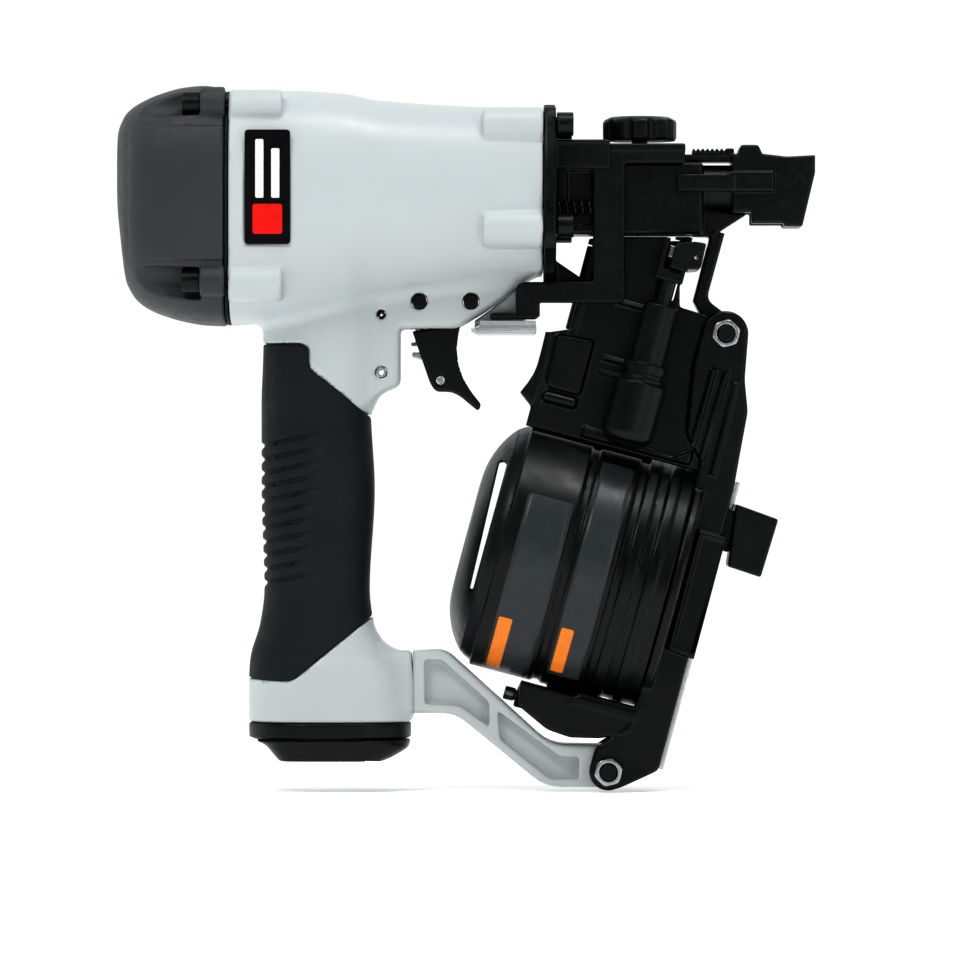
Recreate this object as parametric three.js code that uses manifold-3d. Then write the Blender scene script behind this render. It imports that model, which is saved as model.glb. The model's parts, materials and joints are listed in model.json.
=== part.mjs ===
// A pneumatic coil roofing nailer: a cast housing with a handle, a piston and driver inside it, a nose
// with a sprung contact foot in front, and a round nail canister that hangs below the nose at 15 degrees.
//
// Millimetres. X runs along the drive axis towards the nose, Z is up, and the operator's right side is
// at -Y. The sizes below are measured from the point where the drive axis meets the housing's front
// face, and the whole tool is moved at the end so that its origin is under its middle.

import * as THREE from 'three';
import { mergeVertices } from 'three/addons/utils/BufferGeometryUtils.js';
import Module from 'manifold-3d';

// ---------------------------------------------------------------- driving dimensions

const GAP = 0.3;                 // clearance between pieces that touch
const REAR = -161.9;             // rear end of the cap
const TIP = 103.7;               // end of the contact foot
const FLOOR = -229.58;           // lowest point, under the lower magazine bolt
const SIDE_RIGHT = -42;          // widest point at -Y, the rear cap
const SIDE_LEFT = 57;            // widest point at +Y, the canister cover

const CAP_FRONT = -120.6;        // joint face of the rear cap
const BARREL_REAR = -118.8;      // joint face of the housing
const BORE_R = 29;               // air chamber round the cylinder
const SLEEVE_R = 25;             // cylinder sleeve, outside
const SLEEVE_BORE_R = 22.6;
const PISTON_R = 22.2;
const BLADE_R = 3.2;
const BLADE_TIP = 14;

const HANDLE_X = -86;            // centre line of the air passage in the handle
const HANDLE_BORE_R = 11;
const GRIP_THICK = 2.5;
const BASE_BOTTOM = -203.5;
const CAP_BOTTOM = -218.5;

const NOSE_HALF = 13.5;          // half width of the nose block
const NOSE_TOP = 9.5;
const NOSE_BOTTOM = -17.9;
const COVER_TOP = 17.9;
const COVER_END = 25.4;
const TUBE_R = 9;
const TUBE_END = 81;
const DRIVE_R = 4;

const ARM_OUT = -18.4;           // contact arm plate, outer and inner face
const ARM_IN = -14.6;
const KNOB_X = 37.1;
const KNOB_R = 14.2;

const TRIGGER_X = -27.4;         // trigger pivot
const TRIGGER_Z = -43.3;
const VALVE_X = -47.1;
const LEVER_X = -39.1;
const LEVER_Z = -73.3;

const TILT = THREE.MathUtils.degToRad(15);
const THROAT_X = 42.6;           // where the nail channel's middle meets the drive axis
const CANISTER_R = 48;
const CANISTER_Y = 9;
const CANISTER_V = -146;
const WALL = 2.4;
const PIVOT_U = 40.4;            // both magazine bolts lie on one line along the feed direction
const PIVOT_HIGH = -46.9;
const PIVOT_LOW = -219.4;
const LUG_IN = 11.4;
const LUG_OUT = 15.4;
const HINGE_V = -201;
const FEED_U = 14;
const FEED_Y = -22.4;
const PAWL_Y = -18.5;
const PAWL_V = -22;
const DOOR_U = -16.2;
const DOOR_Y = 8.4;

// ---------------------------------------------------------------- materials

function paint(hex, roughness, metalness) {
  return new THREE.MeshStandardMaterial({ color: hex, roughness, metalness });
}

const greyPaint = paint(0xd3d9da, 0.38, 0.15);
const capPlastic = paint(0x3c4243, 0.6, 0.0);
const blackRubber = paint(0x0d0e0f, 0.75, 0.0);
const blackPlastic = paint(0x141617, 0.45, 0.0);
const blackSteel = paint(0x17191b, 0.42, 0.5);
const blackCasting = paint(0x101213, 0.5, 0.3);
const bareSteel = paint(0xb9bdbe, 0.3, 0.95);
const aluminium = paint(0xa4aaab, 0.4, 0.9);
const amberUrethane = paint(0x7a4a1e, 0.6, 0.0);

// ---------------------------------------------------------------- solids

const wasm = await Module();
wasm.setup();

// A closed three.js geometry as a solid: shared corners merged, flat slivers dropped, faces outwards.
function solid(geometry) {
  const bare = geometry.clone();
  bare.deleteAttribute('normal');
  bare.deleteAttribute('uv');
  const merged = mergeVertices(bare, 1e-4);
  const points = merged.attributes.position.array;
  const corner = (i) => new THREE.Vector3().fromArray(points, 3 * i);
  const triangles = [];
  let volume = 0;
  for (let i = 0; i < merged.index.count; i += 3) {
    const [a, b, c] = [0, 1, 2].map((k) => merged.index.getX(i + k));
    if (a === b || b === c || c === a) continue;
    triangles.push([a, b, c]);
    volume += corner(a).dot(corner(b).cross(corner(c)));
  }
  const ordered = volume < 0 ? triangles.map(([a, b, c]) => [a, c, b]) : triangles;
  const mesh = new wasm.Mesh({
    numProp: 3,
    vertProperties: Float32Array.from(points),
    triVerts: Uint32Array.from(ordered.flat()),
  });
  return new wasm.Manifold(mesh);
}

function join(first, ...others) {
  return others.reduce((sum, other) => sum.add(other), first);
}

function cut(base, ...tools) {
  return tools.reduce((rest, tool) => rest.subtract(tool), base);
}

function box(x0, x1, y0, y1, z0, z1) {
  const shape = new THREE.BoxGeometry(x1 - x0, y1 - y0, z1 - z0);
  return solid(shape.translate((x0 + x1) / 2, (y0 + y1) / 2, (z0 + z1) / 2));
}

// Turns a geometry made along Y so that it lies along the named axis.
function alongAxis(geometry, axis) {
  if (axis === 'x') return geometry.rotateZ(-Math.PI / 2);
  if (axis === 'z') return geometry.rotateX(Math.PI / 2);
  return geometry;
}

// A round bar from one place to another along an axis; p and q are its centre on the other two axes.
function rod(axis, radius, from, to, p = 0, q = 0, sides = 14) {
  const bar = new THREE.CylinderGeometry(radius, radius, to - from, sides);
  const middle = (from + to) / 2;
  const places = { x: [middle, p, q], y: [p, middle, q], z: [p, q, middle] };
  return solid(alongAxis(bar, axis).translate(...places[axis]));
}

// A turned body: the profile is a closed outline of [place along the axis, radius].
function turned(axis, profile, p = 0, q = 0, sides = 20) {
  const outline = profile.map(([along, radius]) => new THREE.Vector2(radius, along));
  outline.push(outline[0].clone());
  const body = alongAxis(new THREE.LatheGeometry(outline, sides), axis);
  const places = { x: [0, p, q], y: [p, 0, q], z: [p, q, 0] };
  return solid(body.translate(...places[axis]));
}

// An outline of [x, z] or [x, z, corner radius], drawn as a shape with rounded corners.
function outlineShape(points) {
  const shape = new THREE.Shape();
  const count = points.length;
  points.forEach(([x, z, radius = 0], i) => {
    const here = new THREE.Vector2(x, z);
    const before = new THREE.Vector2(...points[(i + count - 1) % count]).sub(here);
    const after = new THREE.Vector2(...points[(i + 1) % count]).sub(here);
    const start = here.clone().add(before.clone().setLength(radius));
    const end = here.clone().add(after.clone().setLength(radius));
    if (i === 0) shape.moveTo(start.x, start.y);
    else shape.lineTo(start.x, start.y);
    if (radius > 0) shape.quadraticCurveTo(here.x, here.y, end.x, end.y);
  });
  return shape;
}

// A flat plate in the XZ plane, from y0 to y1.
function plate(points, y0, y1) {
  const options = { depth: y1 - y0, bevelEnabled: false, curveSegments: 3 };
  const extruded = new THREE.ExtrudeGeometry(outlineShape(points), options);
  return solid(extruded.rotateX(Math.PI / 2).translate(0, y1, 0));
}

// A flat plate in the XY plane, from z0 to z1.
function slab(points, z0, z1) {
  const options = { depth: z1 - z0, bevelEnabled: false, curveSegments: 3 };
  return solid(new THREE.ExtrudeGeometry(outlineShape(points), options).translate(0, 0, z0));
}

// A flat plate in the YZ plane, from x0 to x1.
function bulkhead(points, x0, x1) {
  const options = { depth: x1 - x0, bevelEnabled: false, curveSegments: 3 };
  const sheet = new THREE.ExtrudeGeometry(outlineShape(points), options);
  return solid(sheet.rotateX(Math.PI / 2).rotateZ(Math.PI / 2).translate(x0, 0, 0));
}

// A body skinned over rings of points, with a fan over each end.
function skin(rings) {
  const size = rings[0].length;
  const points = rings.flat();
  const triangles = [];
  for (let r = 0; r < rings.length - 1; r += 1) {
    for (let i = 0; i < size; i += 1) {
      const a = r * size + i;
      const b = r * size + ((i + 1) % size);
      triangles.push(a, b, b + size, a, b + size, a + size);
    }
  }
  for (const [ring, way] of [[0, -1], [rings.length - 1, 1]]) {
    const centre = points.length;
    const middle = new THREE.Vector3();
    rings[ring].forEach((point) => middle.addScaledVector(point, 1 / size));
    points.push(middle);
    for (let i = 0; i < size; i += 1) {
      const a = ring * size + i;
      const b = ring * size + ((i + 1) % size);
      triangles.push(...(way > 0 ? [a, b, centre] : [b, a, centre]));
    }
  }
  const geometry = new THREE.BufferGeometry().setFromPoints(points);
  geometry.setIndex(triangles);
  return solid(geometry);
}

// One point of a rounded rectangle: a superellipse of half sizes a and b.
function squircle(angle, a, b, power) {
  const c = Math.cos(angle);
  const s = Math.sin(angle);
  const reach = (Math.abs(c) ** power + Math.abs(s) ** power) ** (-1 / power);
  return [a * c * reach, b * s * reach];
}

// Sections across X: { x, top, bottom, half, power }.
function barrelSkin(sections, sides = 24) {
  return skin(sections.map(({ x, top, bottom, half, power }) => {
    const ring = [];
    for (let i = 0; i < sides; i += 1) {
      const angle = (2 * Math.PI * (i + 0.5)) / sides;
      const [y, z] = squircle(angle, half, (top - bottom) / 2, power);
      ring.push(new THREE.Vector3(x, y, (top + bottom) / 2 + z));
    }
    return ring;
  }));
}

// Sections across Z: { z, rear, front, half }.
function handleSkin(sections, grow = 0, sides = 20) {
  return skin(sections.map(({ z, rear, front, half, power = 2.5 }) => {
    const ring = [];
    for (let i = 0; i < sides; i += 1) {
      const angle = (2 * Math.PI * (i + 0.5)) / sides;
      const [x, y] = squircle(angle, (front - rear) / 2 + grow, half + grow, power);
      ring.push(new THREE.Vector3((front + rear) / 2 + x, y, z));
    }
    return ring;
  }));
}

// A round-wire coil spring along X or Z; p and q are its centre on the other two axes.
function coil(axis, radius, wire, from, to, turns, p = 0, q = 0, steps = 7) {
  class Helix extends THREE.Curve {
    getPoint(t, target = new THREE.Vector3()) {
      const angle = 2 * Math.PI * turns * t;
      const along = from + wire + (to - from - 2 * wire) * t;
      const c = radius * Math.cos(angle);
      const s = radius * Math.sin(angle);
      return axis === 'x' ? target.set(along, p + c, q + s) : target.set(p + c, q + s, along);
    }
  }
  const section = new THREE.Shape().absarc(0, 0, wire, 0, 2 * Math.PI);
  const options = { steps: turns * steps, extrudePath: new Helix(), curveSegments: 3 };
  return solid(new THREE.ExtrudeGeometry(section, options));
}

// A hexagonal bar along an axis, measured across its flats.
function hexagon(axis, flats, from, to, p = 0, q = 0) {
  return rod(axis, flats / Math.sqrt(3), from, to, p, q, 6);
}

// A socket-head screw along X or Z: the head starts at the seat and points along the given way.
function socketScrew(axis, way, seat, headR, headLength, shankR, shankLength, p, q) {
  const reach = (a, b) => [seat + way * a, seat + way * b].sort((low, high) => low - high);
  const head = rod(axis, headR, ...reach(0, headLength), p, q, 12);
  const shank = rod(axis, shankR, ...reach(-shankLength, 0.5), p, q, 8);
  const socket = hexagon(axis, headR * 1.05, ...reach(headLength * 0.45, headLength + 1), p, q);
  return cut(join(head, shank), socket);
}

// ---------------------------------------------------------------- the scene graph

// A point of the tilted magazine group, as [x, z] of the tool.
function toolPoint(u, v) {
  const c = Math.cos(TILT);
  const s = Math.sin(TILT);
  return [THROAT_X + u * c + v * s, v * c - u * s];
}

const upperPivot = toolPoint(PIVOT_U, PIVOT_HIGH);
const lowerPivot = toolPoint(PIVOT_U, PIVOT_LOW);

const tool = new THREE.Group();
const magazine = new THREE.Group();
magazine.position.set(THROAT_X, 0, 0);
magazine.rotation.y = TILT;
tool.add(magazine);

// Adds a solid to the tool, or to the tilted magazine group, as a named mesh.
function add(name, body, material, group = tool) {
  const result = body.getMesh();
  const geometry = new THREE.BufferGeometry();
  geometry.setAttribute('position', new THREE.BufferAttribute(result.vertProperties, 3));
  geometry.setIndex(new THREE.BufferAttribute(result.triVerts, 1));
  geometry.computeVertexNormals();
  const mesh = new THREE.Mesh(geometry, material);
  mesh.name = name;
  group.add(mesh);
}

// ---------------------------------------------------------------- housing, handle and grip

const barrelSections = [
  { x: BARREL_REAR, top: 36.9, bottom: -52.4, half: 41.2, power: 3.2 },
  { x: -96, top: 37.2, bottom: -50.5, half: 40.6, power: 3.0 },
  { x: -75, top: 36, bottom: -45.5, half: 38.8, power: 2.8 },
  { x: -64, top: 33.8, bottom: -42, half: 37, power: 2.7 },
  { x: -31.5, top: 31.5, bottom: -37.5, half: 35, power: 2.6 },
  { x: 0, top: 30.4, bottom: -33.5, half: 33.5, power: 2.5 },
];

const handleSections = [
  { z: -36, rear: -108, front: -62, half: 19 },
  { z: -60, rear: -106.8, front: -63, half: 18.6 },
  { z: -82.5, rear: -107.5, front: -65.7, half: 18.5 },
  { z: -115, rear: -107.5, front: -64.2, half: 18.5 },
  { z: -153, rear: -106.4, front: -66.1, half: 18 },
  { z: -166, rear: -108, front: -64.5, half: 18.5 },
  { z: -178, rear: -111.5, front: -57, half: 21 },
  { z: -183, rear: -112.1, front: -52, half: 22.5 },
  { z: -190, rear: -112.3, front: -50.4, half: 23 },
  { z: BASE_BOTTOM, rear: -112.3, front: -50.2, half: 23.5 },
];

const gripOutline = [
  [-125, -59.3],
  [-91.2, -59.3],
  [-88.9, -61.2],
  [-88.9, -68.8],
  [-55, -95.4],
  [-55, -155.3],
  [-95.4, -188.1],
  [-125, -186.2],
];

const trunkBolts = [
  { name: 'cap_screw_1', y: -30, z: 31 },
  { name: 'cap_screw_2', y: 30, z: 31 },
  { name: 'cap_screw_3', y: 34, z: -36 },
  { name: 'cap_screw_4', y: -34, z: -36 },
];

const flangeBolts = [
  { name: 'nose_screw_1', y: -24, z: 23.5 },
  { name: 'nose_screw_2', y: 24, z: 23.5 },
  { name: 'nose_screw_3', y: 29, z: -15.2 },
  { name: 'nose_screw_4', y: -29, z: -15.2 },
];

function addHousing() {
  const webOutline = [
    [-92, -34],
    [-2, -24],
    [-6.8, -35.3, 3],
    [-20, -46, 3],
    [-32.7, -53.6, 2],
    [-54.3, -53.6],
    [-54.3, -75.6, 3],
    [-60.5, -77.6, 3],
    [-65.7, -82.5],
    [-72, -81.5],
    [-92, -62],
  ];
  const bosses = [
    ...trunkBolts.map(({ y, z }) => rod('x', 6.2, BARREL_REAR, -98.8, y, z, 14)),
    ...flangeBolts.map(({ y, z }) => rod('x', 6.9, -23, 0, y, z, 14)),
  ];
  const shell = join(
    barrelSkin(barrelSections),
    handleSkin(handleSections, -GRIP_THICK),
    handleSkin(handleSections).subtract(plate(gripOutline, -30, 30)),
    plate(webOutline, -12.5, 12.5),
    box(-62, -49.9, -11, 11, -200.3, -176.6),
    ...bosses,
  );
  const holes = [
    ...trunkBolts.map(({ y, z }) => rod('x', 2.9, BARREL_REAR - 1, -100, y, z, 10)),
    ...flangeBolts.map(({ y, z }) => rod('x', 2.9, -20, 1, y, z, 10)),
  ];
  add('main_housing', cut(
    shell,
    rod('x', BORE_R, BARREL_REAR - 1, -4, 0, 0, 24),
    rod('x', 20, -5, 1, 0, 0, 16),
    rod('z', HANDLE_BORE_R, BASE_BOTTOM - 1, -15, HANDLE_X, 0, 20),
    rod('z', 15, BASE_BOTTOM - 1, -196, -80, 0, 20),
    box(-53.6, -15.5, -6.4, 6.4, -60, -47.6),
    box(-40.4, -15.5, -6.4, 6.4, -60, -37.2),
    rod('z', 6.5, -54, -34.5, VALVE_X, 0, 18),
    rod('z', 2.5, -35, -20, VALVE_X, 0, 10),
    rod('y', 3.1, -20, 20, TRIGGER_X, TRIGGER_Z, 16),
    rod('y', 3.1, -20, 20, VALVE_X, TRIGGER_Z, 16),
    rod('y', 1.8, -20, 20, -61.6, -48.3, 12),
    rod('y', 2.3, -20, 20, -61.6, -70.3, 12),
    box(-113.2, -94.8, -50, -39.7, -23.2, 21.2),
    ...holes,
  ), greyPaint);

  const label = [[-112.6, -22.6, 1.5], [-95.4, -22.6, 1.5], [-95.4, 20.6, 1.5], [-112.6, 20.6, 1.5]];
  add('side_label', plate(label, -41, -40), blackPlastic);

  add('upper_roll_pin', cut(
    rod('y', 1.5, -12.3, 12.3, -61.6, -48.3, 12),
    rod('y', 0.7, -12.4, 12.4, -61.6, -48.3, 8),
  ), blackSteel);
  add('lower_roll_pin', cut(
    rod('y', 2, -12.3, 12.3, -61.6, -70.3, 12),
    rod('y', 1.1, -12.4, 12.4, -61.6, -70.3, 8),
  ), bareSteel);

  const sleeve = handleSkin(handleSections).subtract(handleSkin(handleSections, GAP - GRIP_THICK));
  add('grip_sleeve', sleeve.intersect(plate(gripOutline, -30, 30)).subtract(gripSeam()), blackRubber);
}

// The thin gap all round the edge of the grip, so that rubber and casting stay apart.
function gripSeam() {
  const above = [
    [-130, -59.6], [-91.4, -59.6], [-89.2, -61.4], [-89.2, -69], [-54, -96.6], [-54, -50], [-130, -50],
  ];
  const below = [[-130, -185.9], [-95.5, -187.7], [-54, -154], [-54, -200], [-130, -200]];
  return join(plate(above, -30, 30), plate(below, -30, 30));
}

function addHandleCap() {
  const sections = [
    { z: BASE_BOTTOM - GAP, rear: -112.3, front: -50.2, half: 23.5 },
    { z: -209, rear: -112.2, front: -50.3, half: 23.4, power: 2.8 },
    { z: -212.5, rear: -106, front: -51, half: 21.8, power: 4 },
    { z: -216.2, rear: -102.5, front: -56, half: 20, power: 5 },
    { z: CAP_BOTTOM, rear: -100.5, front: -61, half: 18.5, power: 6 },
  ];
  const screws = [{ x: -101, y: 0 }, { x: -66, y: 14.5 }, { x: -66, y: -14.5 }];
  const seats = screws.map(({ x, y }) => rod('z', 3.4, -222, -207.5, x, y, 12));
  const holes = screws.map(({ x, y }) => rod('z', 1.8, -222, -203, x, y, 10));
  add('handle_end_cap', cut(
    handleSkin(sections),
    rod('z', 11.4, -222, -203, -82, 0, 24),
    ...seats,
    ...holes,
  ), blackPlastic);
  add('air_inlet', turned('z', [
    [-218.8, 11], [-218.8, 7], [-199, 7], [-199, 11],
  ], -82, 0, 24), bareSteel);
  screws.forEach(({ x, y }, i) => {
    add(`end_cap_screw_${i + 1}`, socketScrew('z', -1, -207.8, 3, 3, 1.5, 4.1, x, y), blackSteel);
  });
}

// The cast arm that ties the handle's base to the lower end of the magazine.
function addMagazineArm() {
  const outline = [
    [-49.6, -176.7],
    [-37.2, -175.9, 3],
    [2.7, -212, 4],
    [24.3, -212.3],
    [31.5, -216, 4],
    [31.5, -228.6, 4],
    [0.8, -228.3, 4],
    [-33.4, -200.3, 4],
    [-49.6, -200.3],
  ];
  const rearPocket = [
    [-45, -180, 1], [-38.6, -180, 1], [-20.6, -196, 1.5], [-20.6, -205.1, 1], [-31.6, -197.3, 1.5],
    [-45, -196.8, 1.5],
  ];
  const frontPocket = [
    [-17.1, -199.5, 1], [6.5, -217, 1.5], [13.7, -217, 1], [13.7, -225.3, 1], [3, -225.3, 2],
    [-16.3, -210.1, 1.5],
  ];
  const pockets = [-1, 1].flatMap((side) => {
    const [y0, y1] = side < 0 ? [-14, -6] : [6, 14];
    return [plate(rearPocket, y0, y1), plate(frontPocket, y0, y1)];
  });
  add('magazine_arm', cut(
    plate(outline, -11, 11),
    ...pockets,
    rod('y', 3.4, -14, 14, ...lowerPivot, 14),
  ), greyPaint);
}

// ---------------------------------------------------------------- rear cap and the drive

function addRearCap() {
  const sections = [
    { x: REAR, top: 23.2, bottom: -13, half: 20, power: 2.6 },
    { x: -158.5, top: 28.9, bottom: -37, half: 30.5, power: 2.8 },
    { x: -153.1, top: 32.7, bottom: -44.5, half: 36.5, power: 3.0 },
    { x: -146, top: 35.8, bottom: -48.2, half: 40, power: 3.1 },
    { x: -136, top: 38.4, bottom: -51.1, half: 41.7, power: 3.2 },
    { x: -129, top: 39, bottom: -52.2, half: -SIDE_RIGHT, power: 3.2 },
    { x: CAP_FRONT, top: 37.6, bottom: -52.6, half: -SIDE_RIGHT, power: 3.2 },
  ];
  const pockets = trunkBolts.map(({ y, z }) => rod('x', 6.6, -175, -129.2, y * 1.03, z * 1.03, 16));
  const holes = trunkBolts.map(({ y, z }) => rod('x', 2.9, -135, CAP_FRONT + 1, y, z, 10));
  add('rear_cap', cut(
    barrelSkin(sections),
    rod('x', BORE_R + 1, -150, CAP_FRONT + 1, 0, 0, 24),
    ...pockets,
    ...holes,
  ), capPlastic);

  const rim = [CAP_FRONT + GAP, BARREL_REAR - GAP].map((x) => ({
    x, top: 36.9, bottom: -52.2, half: 41, power: 3.2,
  }));
  add('cap_gasket', cut(
    barrelSkin(rim),
    rod('x', BORE_R + 0.5, -122, -117, 0, 0, 24),
    ...trunkBolts.map(({ y, z }) => rod('x', 2.9, -122, -117, y, z, 10)),
  ), blackRubber);

  trunkBolts.forEach(({ name, y, z }) => {
    add(name, socketScrew('x', -1, -129.5, 4.6, 7, 2.5, 27, y, z), blackSteel);
  });
}

function addDrive() {
  add('cylinder_sleeve', turned('x', [
    [-112, SLEEVE_R], [-62, SLEEVE_R], [-60, 28.6], [-55, 28.6], [-53, SLEEVE_R], [-8, SLEEVE_R],
    [-8, SLEEVE_BORE_R], [-112, SLEEVE_BORE_R],
  ]), aluminium);
  add('head_valve', turned('x', [
    [-112.4, 27.5], [-112.4, 13], [-116, 11], [-124, 11], [-124, 18], [-119, 20], [-119, 27.5],
  ]), blackPlastic);
  add('head_valve_spring', coil('x', 14.6, 1.1, -148.6, -124.4, 5), bareSteel);
  add('piston', cut(
    turned('x', [
      [-104, 17], [-102, PISTON_R], [-99.9, PISTON_R], [-99.9, 20], [-97.1, 20], [-97.1, PISTON_R],
      [-93, PISTON_R], [-91, 9], [-91, 0], [-99, 0], [-100, 9], [-104, 12],
    ]),
    rod('x', BLADE_R + GAP, -97, -90, 0, 0, 16),
  ), aluminium);
  add('piston_ring', turned('x', [
    [-99.5, 20.4], [-97.5, 20.4], [-97.5, 22.35], [-99.5, 22.35],
  ]), blackRubber);
  add('driver_blade', turned('x', [
    [-96.5, 0], [-96.5, BLADE_R], [BLADE_TIP - 1, BLADE_R], [BLADE_TIP, BLADE_R - 1], [BLADE_TIP, 0],
  ], 0, 0, 16), bareSteel);
  add('drive_bumper', turned('x', [
    [-27, 12], [-20, 20.5], [-9, 22.2], [-8.6, 22.2], [-8.6, 4.6], [-27, 4.6],
  ]), amberUrethane);
}

// ---------------------------------------------------------------- nose and contact foot

function addNose() {
  const flange = [
    [-26, 31, 5], [-6.5, 29, 1], [-6, 31.9, 1], [6, 31.9, 1], [6.5, 29, 1], [26, 31, 5], [33, 12, 6],
    [36.5, -8, 5], [36.5, -23, 5], [14, -33.5, 3], [10, -39.1, 2], [-10, -39.1, 2], [-14, -33.5, 3],
    [-36.5, -23, 5], [-36.5, -8, 5], [-33, 12, 6],
  ];
  const brace = [[4, -27], [14.8, -34.4], [13.5, -39.6, 1], [9, -38.5], [4, -36.5]];
  const rib = [[58, -8], [78, -9.9, 1], [64.4, -18.6], [50, -18]];
  const strut = [[64.2, -17], [69.6, -17], [62.6, -42.5, 3], [69.9, -48], [66, -60], [57.4, -43]];
  const slot = [[20, 0], [61.4, 0], [56.8, -17.2], [56.8, -30], [21.8, -30], [21.8, -17.2]];
  const body = join(
    bulkhead(flange, GAP, 4.9),
    box(4.8, 61, -NOSE_HALF, NOSE_HALF, NOSE_BOTTOM, NOSE_TOP),
    rod('x', TUBE_R, 60, TUBE_END, 0, 0, 24),
    box(4.8, COVER_END, -19.9, 15, 16.8, COVER_TOP),
    box(4.8, COVER_END, -19.9, -18.8, 7, 17.5),
    plate(brace, -7, 3),
    plate(rib, -5.9, 5.9),
    plate(strut, -5.9, 5.9),
    rod('y', 7, -LUG_IN + GAP, LUG_IN - GAP, ...upperPivot, 20),
  );
  add('nose_body', cut(
    body,
    rod('x', DRIVE_R, -1, 92, 0, 0, 16),
    plate(slot, -6, 6),
    rod('y', 3.4, -14, 14, ...upperPivot, 14),
    ...flangeBolts.map(({ y, z }) => rod('x', 2.9, -1, 7, y, z, 10)),
  ), blackSteel);
  flangeBolts.forEach(({ name, y, z }) => {
    add(name, socketScrew('x', 1, 5.2, 4.5, 6.3, 2.5, 22, y, z), blackSteel);
  });
}

function addContactFoot() {
  const rear = [
    [-20.1, -47.8], [-10.4, -47.8], [-10.4, -36.1, 4], [19, -36.1, 1], [19, 9], [14.6, 9], [14.6, 16.4],
    [54, 16.4], [54, 9], [31, 9], [31, -44.1, 2], [-1.2, -44.1], [-1.2, -49], [-2.8, -50.4], [-20.1, -50.4],
  ];
  add('contact_arm', cut(
    join(
      plate(rear, ARM_OUT, ARM_IN),
      box(14.6, 54, ARM_OUT, 13.4, 13.4, 16.4),
    ),
    rod('z', 3.4, 12, 18, KNOB_X, 0, 16),
  ), blackSteel);
  add('contact_spring', coil('x', 2.6, 0.6, 5.2, 18.7, 5, -16.9, -8, 7), bareSteel);

  const grooveCount = 10;
  const grooves = Array.from({ length: grooveCount }, (_, i) => {
    const angle = (2 * Math.PI * i) / grooveCount;
    const reach = KNOB_R + 0.6;
    return rod('z', 1.8, 17, 25.4, KNOB_X + reach * Math.cos(angle), reach * Math.sin(angle), 6);
  });
  add('depth_knob', cut(
    join(
      turned('z', [
        [18.2, 0], [18.2, KNOB_R - 0.6], [19.2, KNOB_R], [25.8, KNOB_R], [27.4, KNOB_R - 3], [27.4, 0],
      ], KNOB_X, 0, 30),
      rod('z', 3, 13.4, 19, KNOB_X, 0, 16),
    ),
    ...grooves,
  ), blackPlastic);

  const profile = [
    [72, 12.9], [74.2, 12.9], [75.4, 16.3, 1], [82, 16.3, 1], [83.6, 12.9], [93, 11.8, 1], [TIP, 12.4],
    [TIP, 5.7], [98.8, -14.8], [92, -14.8], [91.5, -13.7], [79.4, -13.7], [79.4, -9.5], [72, -9.5],
  ];
  const teeth = Array.from({ length: 7 }, (_, i) => {
    const x = 58.4 + i * 1.8;
    return plate([[x - 0.9, 15.6], [x + 0.9, 15.6], [x, 13.9]], -8, 8);
  });
  add('contact_foot', cut(
    join(
      plate(profile, -13, 13),
      box(40, 73, -7, 7, 10, 12.9),
      box(57.2, 73, -7, 7, 12.5, 15.2),
      box(51, 73, -16.4, -13.9, -1.6, 5),
      box(70, 88, -16.4, -12.5, -1.6, 6),
    ),
    rod('x', TUBE_R + 0.5, 70, 92, 0, 0, 24),
    rod('x', 6, 90, 110, 0, 0, 20),
    box(70, 92, -6.4, 6.4, -20, -5),
    ...teeth,
  ), blackSteel);
}

// ---------------------------------------------------------------- trigger and its valve

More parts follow.
